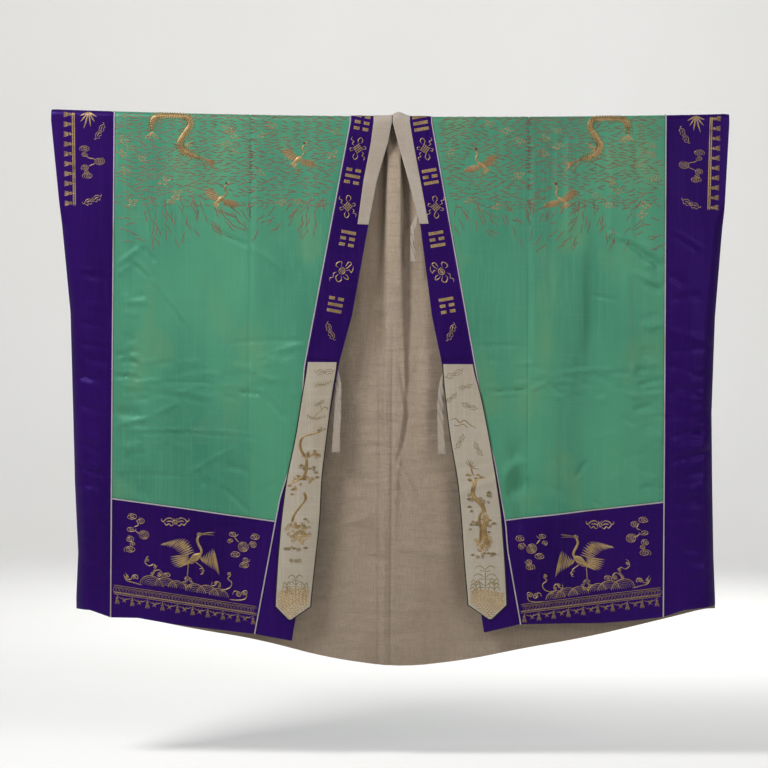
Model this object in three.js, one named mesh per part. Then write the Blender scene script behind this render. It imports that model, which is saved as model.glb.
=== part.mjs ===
// A Taoist priest's robe of green and purple satin, square cut and sleeveless, hung open on a bowed rod.
// Units are millimetres. +Z is up, -Y is the front, and +X is to the right as seen from the front.
// The origin is the middle of the rod's axis, where the robe is held.
import * as THREE from "three";

// Driving sizes
const shoulderHalf = 846;
const rod = { radius: 12.5, length: 1684, sag: 13, sides: 16, steps: 20 };
const loomHalf = 347; // half a loom width of satin, so the strips are seamed here
const sideSeam = 688; // where the green satin meets the purple side band
const centreSeam = 5; // the neck and the centre back hang a little to the right
const hemBandDepth = 297;
const layerGap = 0.3;
const seamGap = 0.3;
const thickness = {
  front: 2.7,
  lining: 1.0,
  back: 1.4,
  collar: 1.4,
  guard: 1.2,
  backing: 1.0,
  streamer: 1.2,
  piping: 1.5,
  tie: 1.2,
};
const pipingWidth = 3.4;
const foldRadius = rod.radius + layerGap; // the cloth's inner face where it lies over the rod

// How far out from the hollow each layer starts
const backStart = thickness.lining + layerGap;
const onFront = thickness.front + layerGap;
const onCollar = onFront + thickness.collar + layerGap;
const onBacking = onFront + thickness.backing + layerGap;

// Outlines, with heights from the rod's axis. Left and right are as seen from the front.
// Half width of the robe from shoulder to hem
const sideEdgeRows = [
  { z: 0, left: 846, right: 846 },
  { z: -216, left: 823, right: 835 },
  { z: -480, left: 796, right: 815 },
  { z: -720, left: 788, right: 808 },
  { z: -910, left: 782, right: 811 },
  { z: -1080, left: 773, right: 815 },
  { z: -1190, left: 777, right: 820 },
  { z: -1240, left: 776, right: 820 },
];

// Inner edge of each front, from the neck to the hem
const innerEdgeRows = [
  { z: 0, left: -4, right: 6 },
  { z: -50, left: 5, right: 19 },
  { z: -145, left: 32, right: 46 },
  { z: -260, left: 53, right: 77 },
  { z: -484, left: 92, right: 107 },
  { z: -600, left: 123, right: 132 },
  { z: -1290, left: 236, right: 245 },
];

// Seam between the green satin and the purple front band, a straight line out from the neck. Beside the
// streamers it sways off that line, inward on the left and outward on the right.
const bandSeam = {
  left: { atShoulder: 97.3, slope: 0.18 },
  right: { atShoulder: 101.8, slope: 0.1835 },
};
const bandSway = {
  left: { top: -600, bottom: -955, ease: 130, inward: 13.5 },
  right: { top: -760, bottom: -1080, ease: 100, inward: -7 },
};

// Top edge of the purple hem panel, which falls towards the middle
const waist = { atSide: -943, left: 0.132, right: 0.12 };

// Hem of each front, by distance from the middle
const frontHemRows = [
  { x: 230, left: -1296, right: -1274 },
  { x: 330, left: -1278, right: -1250 },
  { x: 440, left: -1266, right: -1247 },
  { x: 540, left: -1254, right: -1245 },
  { x: 620, left: -1240, right: -1238 },
  { x: 688, left: -1239, right: -1229 },
  { x: 740, left: -1221, right: -1212 },
  { x: 830, left: -1216, right: -1200 },
];

// Hem of the back, a shallow arc that hangs below the fronts
const backHemRows = [
  { x: -830, z: -1216 },
  { x: -735, z: -1222 },
  { x: -635, z: -1240 },
  { x: -510, z: -1266 },
  { x: -327, z: -1295 },
  { x: -142, z: -1342 },
  { x: 33, z: -1364 },
  { x: 208, z: -1343 },
  { x: 350, z: -1312 },
  { x: 493, z: -1287 },
  { x: 635, z: -1253 },
  { x: 792, z: -1213 },
  { x: 830, z: -1201 },
];

// Cream streamers that hang from the ends of the collar, by their two edges and the point below
const streamerRows = {
  left: [
    { z: -600, outer: 199, inner: 128 },
    { z: -685, outer: 213, inner: 142 },
    { z: -785, outer: 228, inner: 154 },
    { z: -890, outer: 250, inner: 166 },
    { z: -995, outer: 263, inner: 170 },
    { z: -1098, outer: 271, inner: 181 },
    { z: -1208, outer: 277, inner: 192 },
  ],
  right: [
    { z: -603, outer: 206, inner: 135 },
    { z: -682, outer: 229, inner: 142 },
    { z: -785, outer: 250, inner: 155 },
    { z: -890, outer: 268, inner: 175 },
    { z: -975, outer: 281, inner: 184 },
    { z: -1098, outer: 291, inner: 193 },
    { z: -1201, outer: 297, inner: 203 },
  ],
};
const streamerTips = { left: { z: -1243, x: 242 }, right: { z: -1239, x: 257 } };
const streamerLift = { height: 2.4, over: 40 }; // a streamer rises off the band, to lie over the piping
const backingEdge = 2.6; // how far the dark backing shows round the cream satin

// White cloth that guards the collar's inner edge at the neck, as shares of the collar's width
const guard = { shareAtTop: 0.45, shareAtEnd: 0.3 };
const peak = { x: 21, halfWidth: 15, height: 9 }; // the pinched collar stands up over the rod here

// Ties, each sewn at its top behind the inner edge of a front. The rest of it hangs free.
const ties = {
  tie_left: [
    { x: -137, z: -596, width: 14 },
    { x: -134, z: -612, width: 14 },
    { x: -124, z: -655, width: 14 },
    { x: -126, z: -727, width: 17 },
    { x: -129, z: -780, width: 18 },
    { x: -130, z: -824, width: 20 },
  ],
  tie_right: [
    { x: 146, z: -602, width: 14 },
    { x: 143, z: -618, width: 14 },
    { x: 131, z: -655, width: 12 },
    { x: 129, z: -712, width: 16 },
    { x: 130, z: -765, width: 15 },
    { x: 134, z: -826, width: 19 },
  ],
  tie_neck: [
    { x: 79, z: -204, width: 11 },
    { x: 76, z: -216, width: 11 },
    { x: 58, z: -262, width: 11 },
    { x: 57, z: -300, width: 9 },
    { x: 60, z: -347, width: 15 },
  ],
};
const sewnRows = 2;
const tieCurl = 1.6;

// Largest folds. Each lies round x, and comes and goes between top and bottom.
// Positive depth is away from the hollow.
const frontFolds = {
  left: [
    { x: -600, halfWidth: 46, depth: 6, top: -150, bottom: -930 },
    { x: -505, halfWidth: 40, depth: -5, top: -260, bottom: -1240 },
    { x: -410, halfWidth: 45, depth: 6, top: -420, bottom: -1260 },
    { x: -270, halfWidth: 38, depth: -6, top: -180, bottom: -640 },
  ],
  right: [
    { x: 590, halfWidth: 42, depth: 8, top: -120, bottom: -900 },
    { x: 500, halfWidth: 40, depth: -6, top: -200, bottom: -1100 },
    { x: 415, halfWidth: 44, depth: 6, top: -300, bottom: -1240 },
    { x: 325, halfWidth: 26, depth: -9, top: -700, bottom: -1060 },
  ],
};
const backFolds = [
  { x: -590, halfWidth: 62, depth: 7, top: -200, bottom: -1230 },
  { x: -430, halfWidth: 58, depth: -6, top: -350, bottom: -1260 },
  { x: -210, halfWidth: 60, depth: 6, top: -160, bottom: -1200 },
  { x: -26, halfWidth: 17, depth: 11, top: -40, bottom: -680 },
  { x: 47, halfWidth: 15, depth: 9, top: -40, bottom: -620 },
  { x: 104, halfWidth: 26, depth: -5, top: -230, bottom: -900 },
  { x: 240, halfWidth: 60, depth: 7, top: -160, bottom: -1250 },
  { x: 440, halfWidth: 58, depth: -6, top: -300, bottom: -1240 },
  { x: 600, halfWidth: 60, depth: 7, top: -180, bottom: -1220 },
];

// The pinch at the centre back, a flat ridge that stands towards the front and narrows down the seam
const pinchRows = [
  { z: -24, from: -4, to: 26, depth: 0 },
  { z: -85, from: -4, to: 26, depth: 20 },
  { z: -320, from: -4, to: 28, depth: 23 },
  { z: -580, from: -5, to: 38, depth: 14 },
  { z: -720, from: -8, to: 38, depth: 10 },
  { z: -880, from: 2, to: 22, depth: 5 },
  { z: -1050, from: 5, to: 12, depth: 0 },
];
const pinchFlank = 12;

// How the walls stand apart. The fronts stand forward along their inner edges.
const spread = { front: 8, back: 9, over: 700 };
const innerLift = { depth: 12, reach: 250, length: 1300 };
const armhole = { open: 205, closed: 285 };
const closingWidth = 30;
const closedGap = layerGap / 2;

// Where the grid of each wall is divided
const arcCells = 5;
const frontRowShares = [0, 0.06, 0.14, 0.25, 0.36, 0.47, 0.586, 0.69, 0.79, 0.9, 1];
const guardEndRow = 3;
const collarEndRow = 6;
const hemRowShares = [1 / 3, 2 / 3, 1];
const backRowShares = [0.08, 0.19, 0.32, 0.47, 0.64, 0.82, 1];
const bandShares = [0, 1 / 3, 2 / 3, 1];
const collarShares = [0, 0.1, 0.22, 0.33, 0.45, 0.63, 0.82, 1];
const guardShares = collarShares.slice(0, 5);
const innerStripShares = [0, 0.25, 0.5, 0.75, 1];
const outerStripShares = [0, 0.25, 0.5, 0.75, 1];
const backStripShares = [0, 1 / 3, 2 / 3, 1];
const sideBandShares = [0, 0.35, 0.62, 0.8, 0.92, 1];
const streamerCells = 14;
const collarBack = { side: 40, middle: 38, halfWidth: 60 };

const sides = ["left", "right"];
const signOf = { left: -1, right: 1 };
const front = -1;
const back = 1;

const mix = THREE.MathUtils.lerp;
const smooth = (t) => THREE.MathUtils.smoothstep(t, 0, 1);

// The value of one column of a table, with straight lines between its rows
function readRows(rows, by, column, at) {
  const rising = rows[0][by] < rows[rows.length - 1][by];
  const ordered = rising ? rows : [...rows].reverse();
  const next = ordered.findIndex((row) => row[by] >= at);
  if (next === 0) return ordered[0][column];
  if (next < 0) return ordered[ordered.length - 1][column];
  const [low, high] = [ordered[next - 1], ordered[next]];
  return mix(low[column], high[column], (at - low[by]) / (high[by] - low[by]));
}

const rodHeight = (x) => rod.sag * (x / shoulderHalf) ** 2;
const sideEdge = (side, z) => signOf[side] * readRows(sideEdgeRows, "z", side, z);
const innerEdge = (side, z) => signOf[side] * readRows(innerEdgeRows, "z", side, z);
const bandEdge = (side, z) => {
  const { top, bottom, ease, inward } = bandSway[side];
  const sway = inward * smooth((top - z) / ease) * smooth((z - bottom) / ease);
  return signOf[side] * (bandSeam[side].atShoulder - bandSeam[side].slope * Math.min(z, 0) - sway);
};
const frontHem = (side, x) => readRows(frontHemRows, "x", side, Math.abs(x));
const backHem = (x) => readRows(backHemRows, "x", "z", x);
const backWaist = (x) => backHem(x) + hemBandDepth;
const frontWaist = (side, x) =>
  waist.atSide - waist[side] * Math.max(sideSeam - Math.abs(x), 0);

// Depth of the hollow's faces from the plane of the rod

function foldDepth(folds, x, z) {
  return folds.reduce((sum, fold) => {
    const across = Math.exp(-(((x - fold.x) / fold.halfWidth) ** 2));
    const fade = (fold.top - fold.bottom) / 4;
    const down = smooth((fold.top - z) / fade) * smooth((z - fold.bottom) / fade);
    return sum + fold.depth * across * down;
  }, 0);
}

function pinchDepth(x, z) {
  const from = readRows(pinchRows, "z", "from", z);
  const to = readRows(pinchRows, "z", "to", z);
  const flank = (beyond) => 1 - smooth(beyond / pinchFlank);
  return readRows(pinchRows, "z", "depth", z) * Math.min(flank(from - x), flank(x - to));
}

// The side seam is open at the armhole and closes below it
function closing(side, x, z) {
  const drop = rodHeight(x) - z;
  const open = 1 - smooth((drop - armhole.open) / (armhole.closed - armhole.open));
  const inFromEdge = Math.max(Math.abs(sideEdge(side, z)) - Math.abs(x), 0);
  const closed = Math.sin((Math.PI / 2) * Math.min(inFromEdge / closingWidth, 1));
  return open + (1 - open) * closed;
}

function frontDepth(side, x, z) {
  const drop = Math.max(rodHeight(x) - z, 0);
  const base = foldRadius + spread.front * smooth(drop / spread.over);
  const fromBand = Math.max(Math.abs(x) - Math.abs(bandEdge(side, z)), 0);
  const forward = innerLift.depth * Math.sin(Math.PI * Math.min(drop / innerLift.length, 1)) ** 1.5;
  const lift = forward * (1 - smooth(fromBand / innerLift.reach));
  const folds = foldDepth(frontFolds[side], x, z) * smooth((fromBand - 10) / 50);
  return closedGap + (base + lift + folds - closedGap) * closing(side, x, z);
}

function backDepth(x, z) {
  const side = x < 0 ? "left" : "right";
  const drop = Math.max(rodHeight(x) - z, 0);
  const base = foldRadius + spread.back * smooth(drop / spread.over);
  const folds = foldDepth(backFolds, x, z) - pinchDepth(x, z);
  return closedGap + (base + folds - closedGap) * closing(side, x, z);
}

// Places on the two faces of the hollow. A place over the rod has an angle from the top of the rod.

const overRod = (face, x, angle) => ({ face, x, z: rodHeight(x), angle });

function hanging(face, side, x, z) {
  const depth = face === front ? frontDepth(side, x, z) : backDepth(x, z);
  return { face, x, z, depth };
}

// The point that lies a distance out from a place, away from the hollow
function outFrom(place, out) {
  if (place.angle === undefined) return new THREE.Vector3(place.x, place.face * (place.depth + out), place.z);
  const radius = foldRadius + out;
  return new THREE.Vector3(
    place.x,
    place.face * radius * Math.sin(place.angle),
    place.z + radius * Math.cos(place.angle)
  );
}

// Where a column of the grid, x from z, meets a row, z from x
function meet(column, row) {
  let z = row(column(0));
  for (let turn = 0; turn < 8; turn += 1) z = row(column(z));
  return { x: column(z), z };
}

const columnsBetween = (from, to, shares) =>
  shares.map((share) => (z) => mix(from(z), to(z), share));

// The columns of a wall keep clear of its seams by half the seam's gap
function inset(columns, side, atStart, atEnd) {
  const shift = (signOf[side] * seamGap) / 2;
  return columns.map((column, i) => {
    if (i === 0 && atStart) return (z) => column(z) + shift;
    if (i === columns.length - 1 && atEnd) return (z) => column(z) - shift;
    return column;
  });
}

// Rows of a front from the rod to the top of the hem panel, and on to the hem

const frontRow = (side, share) => (x) => mix(rodHeight(x), frontWaist(side, x), share);
const frontHemRow = (side, share) => (x) => mix(frontWaist(side, x), frontHem(side, x), share);
const upperFrontRows = (side) => frontRowShares.map((share) => frontRow(side, share));
const lowerFrontRows = (side) => hemRowShares.map((share) => frontHemRow(side, share));

// Rows of the back: under the collar, down to the hem band, and on to the hem

function collarBackEdge(x) {
  const fromCentre = (x - centreSeam) / collarBack.halfWidth;
  return rodHeight(x) - collarBack.side - collarBack.middle * Math.exp(-(fromCentre ** 2));
}
const backNeckRows = [0, 0.5, 1].map((share) => (x) => mix(rodHeight(x), collarBackEdge(x), share));
const upperBackRows = [
  ...backNeckRows,
  ...backRowShares.map((share) => (x) => mix(collarBackEdge(x), backWaist(x), share)),
];
const lowerBackRows = hemRowShares.map((share) => (x) => mix(backWaist(x), backHem(x), share));

const lowered = (row, by) => (x) => row(x) - by;

// The quarter turn over the rod, from the shoulder's ridge down to the rod's level
function arcAngles() {
  const first = seamGap / 2 / foldRadius;
  return Array.from({ length: arcCells }, (_, i) => mix(first, Math.PI / 2, i / arcCells));
}

// A grid of places, a row at a time from the top
function placesOn(face, side, columns, rows, withArc) {
  const arc = withArc
    ? arcAngles().map((angle) => columns.map((column) => overRod(face, column(0), angle)))
    : [];
  const below = rows.map((row) =>
    columns.map((column) => {
      const { x, z } = meet(column, row);
      return hanging(face, side, x, z);
    })
  );
  return [...arc, ...below];
}

// A closed solid between two grids of points that match
function solidBetween(outer, inner) {
  const rows = outer.length;
  const columns = outer[0].length;
  const points = [...outer.flat(), ...inner.flat()];
  const faces = [];
  const quad = (a, b, c, d) => faces.push(a, b, c, a, c, d);
  const at = (layer, row, column) => layer * rows * columns + row * columns + column;
  for (let row = 0; row + 1 < rows; row += 1) {
    for (let column = 0; column + 1 < columns; column += 1) {
      quad(at(0, row, column), at(0, row + 1, column), at(0, row + 1, column + 1), at(0, row, column + 1));
      quad(at(1, row, column), at(1, row, column + 1), at(1, row + 1, column + 1), at(1, row + 1, column));
    }
  }
  for (let row = 0; row + 1 < rows; row += 1) {
    quad(at(0, row, 0), at(1, row, 0), at(1, row + 1, 0), at(0, row + 1, 0));
    const last = columns - 1;
    quad(at(0, row + 1, last), at(1, row + 1, last), at(1, row, last), at(0, row, last));
  }
  for (let column = 0; column + 1 < columns; column += 1) {
    quad(at(0, 0, column), at(0, 0, column + 1), at(1, 0, column + 1), at(1, 0, column));
    const last = rows - 1;
    quad(at(1, last, column), at(1, last, column + 1), at(0, last, column + 1), at(0, last, column));
  }
  return facingOut(points, faces);
}

// Turns every face round if the solid is inside out
function facingOut(points, faces) {
  let volume = 0;
  for (let i = 0; i < faces.length; i += 3) {
    const [a, b, c] = [points[faces[i]], points[faces[i + 1]], points[faces[i + 2]]];
    volume += a.dot(b.clone().cross(c));
  }
  const index = volume > 0 ? faces : [...faces].reverse();
  return new THREE.BufferGeometry().setFromPoints(points).setIndex(index);
}

const cloth = (color, roughness = 0.7) =>
  new THREE.MeshStandardMaterial({ color, roughness, metalness: 0 });
const materials = {
  green: cloth(0x57906f, 0.45),
  purple: cloth(0x3a1f6e, 0.45),
  cream: cloth(0xd6ccb8, 0.5),
  white: cloth(0xd2c7ba, 0.8),
  linen: cloth(0xa3937f, 0.9),
  pipingWhite: cloth(0xcfc6d2, 0.7),
  dark: cloth(0x1c1613, 0.7),
  rod: new THREE.MeshStandardMaterial({ color: 0x1a1613, roughness: 0.5, metalness: 0 }),
};

const robe = new THREE.Group();

function addPiece(name, geometry, material) {
  const mesh = new THREE.Mesh(geometry, material);
  mesh.name = name;
  robe.add(mesh);
}

// A layer of cloth that starts a distance out from a grid of places
function addLayer(name, places, start, thick, material) {
  const layer = (out) => places.map((row) => row.map((place) => outFrom(place, out)));
  addPiece(name, solidBetween(layer(start + thick), layer(start)), material);
}

// The rod bows under the robe's weight

function addRod() {
  const half = rod.length / 2;
  const end = rodHeight(half);
  const path = new THREE.QuadraticBezierCurve3(
    new THREE.Vector3(-half, 0, end),
    new THREE.Vector3(0, 0, -end),
    new THREE.Vector3(half, 0, end)
  );
  const corners = Array.from({ length: rod.sides }, (_, i) => {
    const turn = (2 * Math.PI * i) / rod.sides;
    return new THREE.Vector2(rod.radius * Math.cos(turn), rod.radius * Math.sin(turn));
  });
  const geometry = new THREE.ExtrudeGeometry(new THREE.Shape(corners), {
    extrudePath: path,
    steps: rod.steps,
    bevelEnabled: false,
  });
  addPiece("rod", geometry, materials.rod);
}

// Lines that bound the pieces of one side, each giving x from z
function boundsOf(side) {
  const sign = signOf[side];
  return {
    inner: (z) => innerEdge(side, z),
    band: (z) => bandEdge(side, z),
    loom: () => sign * loomHalf,
    side: () => sign * sideSeam,
    outer: (z) => sideEdge(side, z),
    centre: () => centreSeam,
    collar: () => sign * bandSeam[side].atShoulder,
  };
}

// Front walls, satin and lining as one

function addFront(side) {
  const b = boundsOf(side);
  const upper = upperFrontRows(side);
  const waistRow = upper[upper.length - 1];
  const green = [...upper.slice(0, -1), lowered(waistRow, -seamGap / 2)];
  const purple = [lowered(waistRow, seamGap / 2), ...lowerFrontRows(side)];
  const whole = [...upper, ...lowerFrontRows(side)];
  const add = (name, columns, rows, withArc, material) => {
    const places = placesOn(front, side, columns, rows, withArc);
    addLayer(`${name}_${side}`, places, 0, thickness.front, material);
  };

  const band = inset(columnsBetween(b.inner, b.band, bandShares), side, false, true);
  const innerStrip = columnsBetween(b.band, b.loom, innerStripShares);
  const outerStrip = columnsBetween(b.loom, b.side, outerStripShares);
  const sideBand = inset(columnsBetween(b.side, b.outer, sideBandShares), side, true, false);
  const hemPanel = inset([...innerStrip, ...outerStrip.slice(1)], side, true, true);

  add("front_band", band, whole, true, materials.purple);
  add("front_silk_inner", inset(innerStrip, side, true, true), green, true, materials.green);
  add("front_silk_outer", inset(outerStrip, side, true, true), green, true, materials.green);
  add("front_side_band", sideBand, whole, true, materials.purple);
  add("front_hem_panel", hemPanel, purple, false, materials.purple);
}

// Back walls, with a lining of their own inside

function addBack(side) {
  const b = boundsOf(side);
  const waistRow = upperBackRows[upperBackRows.length - 1];
  const green = [...upperBackRows.slice(0, -1), lowered(waistRow, -seamGap / 2)];
  const purple = [lowered(waistRow, seamGap / 2), ...lowerBackRows];
  const whole = [...upperBackRows, ...lowerBackRows];
  const add = (name, columns, rows, withArc, material) => {
    const places = placesOn(back, side, columns, rows, withArc);
    addLayer(`${name}_${side}`, places, backStart, thickness.back, material);
  };

  const underCollar = columnsBetween(b.centre, b.collar, collarShares);
  const besideCollar = columnsBetween(b.collar, b.loom, innerStripShares);
  const innerStrip = [...underCollar, ...besideCollar.slice(1)];
  const outerStrip = columnsBetween(b.loom, b.side, backStripShares);
  const sideBand = columnsBetween(b.side, b.outer, sideBandShares);

  add("back_silk_inner", inset(innerStrip, side, true, true), green, true, materials.green);
  add("back_silk_outer", inset(outerStrip, side, true, true), green, true, materials.green);
  add("back_side_band", inset(sideBand, side, true, false), whole, true, materials.purple);
  const hemPanel = inset([...innerStrip, ...outerStrip.slice(1)], side, true, true);
  add("back_hem_panel", hemPanel, purple, false, materials.purple);

  const all = inset([...innerStrip, ...outerStrip.slice(1), ...sideBand.slice(1)], side, true, false);
  const lining = placesOn(back, side, all, whole, true);
  addLayer(`lining_${side}`, lining, 0, thickness.lining, materials.linen);
}

// The collar lies on the front band, passes over the rod and ends on the back below the neck.
// Its pinched top stands up over the rod.

const peakLift = (x, angle) =>
  peak.height * Math.exp(-(((x - peak.x) / peak.halfWidth) ** 2)) * Math.cos(angle) ** 2;

function raised(places, start, thick) {
  const layer = (out) =>
    places.map((row) =>
      row.map((place) => {
        const lift = place.angle === undefined ? 0 : peakLift(place.x, place.angle);
        return outFrom(place, out + lift);
      })
    );
  return solidBetween(layer(start + thick), layer(start));
}

function addCollar(side) {
  const b = boundsOf(side);
  const onBand = inset(columnsBetween(b.inner, b.band, collarShares), side, true, true);
  const onBack = inset(columnsBetween(b.centre, b.collar, collarShares), side, true, true);
  const rows = upperFrontRows(side).slice(0, collarEndRow + 1);
  const inFront = placesOn(front, side, onBand, rows, true).reverse();
  const top = onBand.map((column) => overRod(front, column(0), 0));
  const backArc = arcAngles().slice(1);
  const behind = backArc.map((angle) => onBack.map((column) => overRod(back, column(0), angle)));
  const backRows = placesOn(back, side, onBack, backNeckRows, false);
  const frontPlaces = inFront.slice(0, -1);
  const places = [...frontPlaces, top, ...behind, ...backRows];
  addPiece(`collar_${side}`, raised(places, onFront, thickness.collar), materials.purple);
}

function addGuard(side) {
  const b = boundsOf(side);
  const end = frontRow(side, frontRowShares[guardEndRow])(0);
  const narrowing = guard.shareAtEnd / guard.shareAtTop;
  const columns = guardShares.map((share) => (z) => {
    const scale = mix(1, narrowing, Math.min(Math.max(z / end, 0), 1));
    return mix(b.inner(z), b.band(z), share * scale);
  });
  const rows = upperFrontRows(side).slice(0, guardEndRow + 1);
  const places = placesOn(front, side, inset(columns, side, true, false), rows, true).reverse();
  addPiece(`guard_${side}`, raised(places, onCollar, thickness.guard), materials.white);
}

// Streamers: cream satin on a dark backing that shows as a narrow edge

function streamerPlaces(side, edge) {
  const rows = streamerRows[side];
  const tip = streamerTips[side];
  const sign = signOf[side];
  const top = rows[0].z;
  const lastLevel = rows[rows.length - 1].z - edge / 2;
  const levels = Array.from({ length: streamerCells + 1 }, (_, i) => mix(top, lastLevel, i / streamerCells));
  const acrossAt = (z) => {
    const outer = readRows(rows, "z", "outer", z) + edge;
    const inner = readRows(rows, "z", "inner", z) - edge;
    return [outer, (outer + inner) / 2, inner].map((x) => sign * x);
  };
  const lifted = (x, z) => {
    const place = hanging(front, side, x, z);
    const lift = streamerLift.height * smooth((top - z) / streamerLift.over);
    return { ...place, depth: place.depth + lift };
  };
  const body = levels.map((z) => acrossAt(z).map((x) => lifted(x, z)));
  const [outer, , inner] = acrossAt(lastLevel);
  const point = [
    lifted(outer, lastLevel - 1),
    lifted(sign * tip.x, tip.z - edge),
    lifted(inner, lastLevel - 1),
  ];
  return [...body, point];
}

function addStreamer(side) {
  const backing = streamerPlaces(side, backingEdge);
  const satin = streamerPlaces(side, 0);
  addLayer(`streamer_backing_${side}`, backing, onFront, thickness.backing, materials.dark);
  addLayer(`streamer_${side}`, satin, onBacking, thickness.streamer, materials.cream);
}

// Piping, a low cord over a seam, with a narrower top

function addPiping(name, pairs, start) {
  const inward = 0.28;
  const ends = pairs.map(([from, to]) => [outFrom(from, start), outFrom(to, start)]);
  const tops = pairs.map(([from, to]) => {
    const [a, b] = [outFrom(from, start + thickness.piping), outFrom(to, start + thickness.piping)];
    return [a.clone().lerp(b, inward), b.clone().lerp(a, inward)];
  });
  addPiece(name, solidBetween(tops, ends), materials.pipingWhite);
}

// Places either side of a line that runs down a wall
function pairsDown(face, side, line, rows, withArc) {
  const columns = [-1, 1].map((way) => (z) => line(z) + (way * pipingWidth) / 2);
  return placesOn(face, side, columns, rows, withArc);
}

// Places either side of a line that runs across a wall
function pairsAcross(face, side, columns, row) {
  return columns.map((column) =>
    [1, -1].map((way) => {
      const { x, z } = meet(column, lowered(row, (-way * pipingWidth) / 2));
      return hanging(face, side, x, z);
    })
  );
}

function addPipings(side) {
  const b = boundsOf(side);
  const sign = signOf[side];
  const frontRows = [...upperFrontRows(side), ...lowerFrontRows(side)];
  const backRows = [...upperBackRows, ...lowerBackRows];

  const sideDown = pairsDown(front, side, b.side, frontRows, true).reverse();
  const sideBehind = pairsDown(back, side, b.side, backRows, true);
  addPiping(`piping_side_${side}`, [...sideDown, ...sideBehind.slice(1)], onFront);

  // Beside the collar the cord lies on the green satin, just clear of the collar's edge
  const besideBand = (z) => b.band(z) + sign * (pipingWidth / 2 + seamGap);
  const besideCollar = () => b.collar() + sign * (pipingWidth / 2 + seamGap);
  const bandDown = pairsDown(front, side, besideBand, frontRows, true).reverse();
  const bandBehind = pairsDown(back, side, besideCollar, backNeckRows, true);
  addPiping(`piping_band_${side}`, [...bandDown, ...bandBehind.slice(1)], onFront);

  const clear = pipingWidth / 2 + seamGap;
  const innerStrip = columnsBetween(b.band, b.loom, innerStripShares);
  const outerStrip = columnsBetween(b.loom, b.side, outerStripShares);
  const hemColumns = [...innerStrip, ...outerStrip.slice(1)];
  const last = hemColumns.length - 1;
  const startClear = (z) => hemColumns[0](z) + sign * (pipingWidth + 3 * seamGap);
  const endClear = (z) => hemColumns[last](z) - sign * clear;
  const across = [startClear, ...hemColumns.slice(1, last), endClear];
  const waistRow = (x) => frontWaist(side, x);
  addPiping(`piping_hem_${side}`, pairsAcross(front, side, across, waistRow), onFront);

  const backInner = columnsBetween(b.centre, b.collar, collarShares);
  const backBeside = columnsBetween(b.collar, b.loom, innerStripShares).slice(1);
  const backOuter = columnsBetween(b.loom, b.side, backStripShares).slice(1);
  const behind = inset([...backInner, ...backBeside, ...backOuter], side, true, false);
  const edge = behind.length - 1;
  const behindClear = [...behind.slice(0, edge), (z) => behind[edge](z) - sign * clear];
  addPiping(`piping_hem_back_${side}`, pairsAcross(back, side, behindClear, backWaist), onFront);
}

// A tie is a narrow strip against the inside of a front, with one edge curled back where it hangs

function addTie(name, rows) {
  const side = rows[0].x < 0 ? "left" : "right";
  const places = rows.map(({ x, z, width }, i) =>
    [-1, 1].map((way) => {
      const curl = i < sewnRows ? 0 : tieCurl * (1 + way * Math.sin(2 * i));
      const place = hanging(front, side, x + (way * width) / 2, z);
      return { ...place, depth: place.depth - layerGap - thickness.tie - curl };
    })
  );
  addLayer(name, places, 0, thickness.tie, materials.white);
}

addRod();
for (const side of sides) {
  addFront(side);
  addBack(side);
  addCollar(side);
  addGuard(side);
  addStreamer(side);
  addPipings(side);
}
for (const [name, rows] of Object.entries(ties)) addTie(name, rows);

export default robe;
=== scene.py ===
import math
from functools import partial

import bpy
import numpy as np
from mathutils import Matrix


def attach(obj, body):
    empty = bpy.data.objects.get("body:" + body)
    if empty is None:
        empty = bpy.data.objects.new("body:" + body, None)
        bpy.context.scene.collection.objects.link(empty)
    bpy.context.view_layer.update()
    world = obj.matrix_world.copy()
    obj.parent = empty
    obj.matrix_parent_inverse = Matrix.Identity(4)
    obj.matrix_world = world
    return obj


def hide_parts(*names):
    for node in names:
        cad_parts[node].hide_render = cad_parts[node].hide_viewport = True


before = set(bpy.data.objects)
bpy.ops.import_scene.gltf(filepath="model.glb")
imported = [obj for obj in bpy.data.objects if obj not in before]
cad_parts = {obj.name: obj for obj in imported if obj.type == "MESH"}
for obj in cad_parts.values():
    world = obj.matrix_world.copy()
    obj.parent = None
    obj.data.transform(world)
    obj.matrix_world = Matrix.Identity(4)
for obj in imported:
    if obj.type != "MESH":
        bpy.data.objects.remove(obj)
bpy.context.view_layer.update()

# The view. The robe is seen straight on, from six metres, with the camera at the height of its
# middle and turned a third of a degree, so that the shoulder line slopes as it does in the photo.
VIEW_PLACE = (-0.0112, -6.0, -0.6533)
VIEW_TURN = math.radians(0.37)
camera = bpy.data.objects.new("view", bpy.data.cameras.new("view"))
camera.location = VIEW_PLACE
camera.rotation_euler = (math.radians(90), -VIEW_TURN, 0)
camera.data.sensor_width = 36
camera.data.lens = 112.5
bpy.context.scene.collection.objects.link(camera)
bpy.context.scene.camera = camera


# The rod. A turned softwood pole, 25 mm thick, painted nearly black. It bows a little under the
# robe's weight and is hidden in the shoulder fold, with only its ends to be seen in the armholes.
ROD_RADIUS = 12.5
ROD_SAG = 13.0
HALF_WIDTH = 846.0


def colour(red, green, blue):
    """A colour, 0 to 255, as the shader wants it."""
    parts = [part / 255 for part in (red, green, blue)]
    linear = [part / 12.92 if part <= 0.04045 else ((part + 0.055) / 1.055) ** 2.4 for part in parts]
    return (*linear, 1.0)


def new_finish(name, roughness, **sockets):
    """A material with one principled shader. Other sockets are given by name, such as Sheen_Weight."""
    material = bpy.data.materials.new(name)
    material.use_nodes = True
    shader = material.node_tree.nodes["Principled BSDF"]
    shader.inputs["Roughness"].default_value = roughness
    for socket, value in sockets.items():
        shader.inputs[socket.replace("_", " ")].default_value = value
    return material, shader


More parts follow.
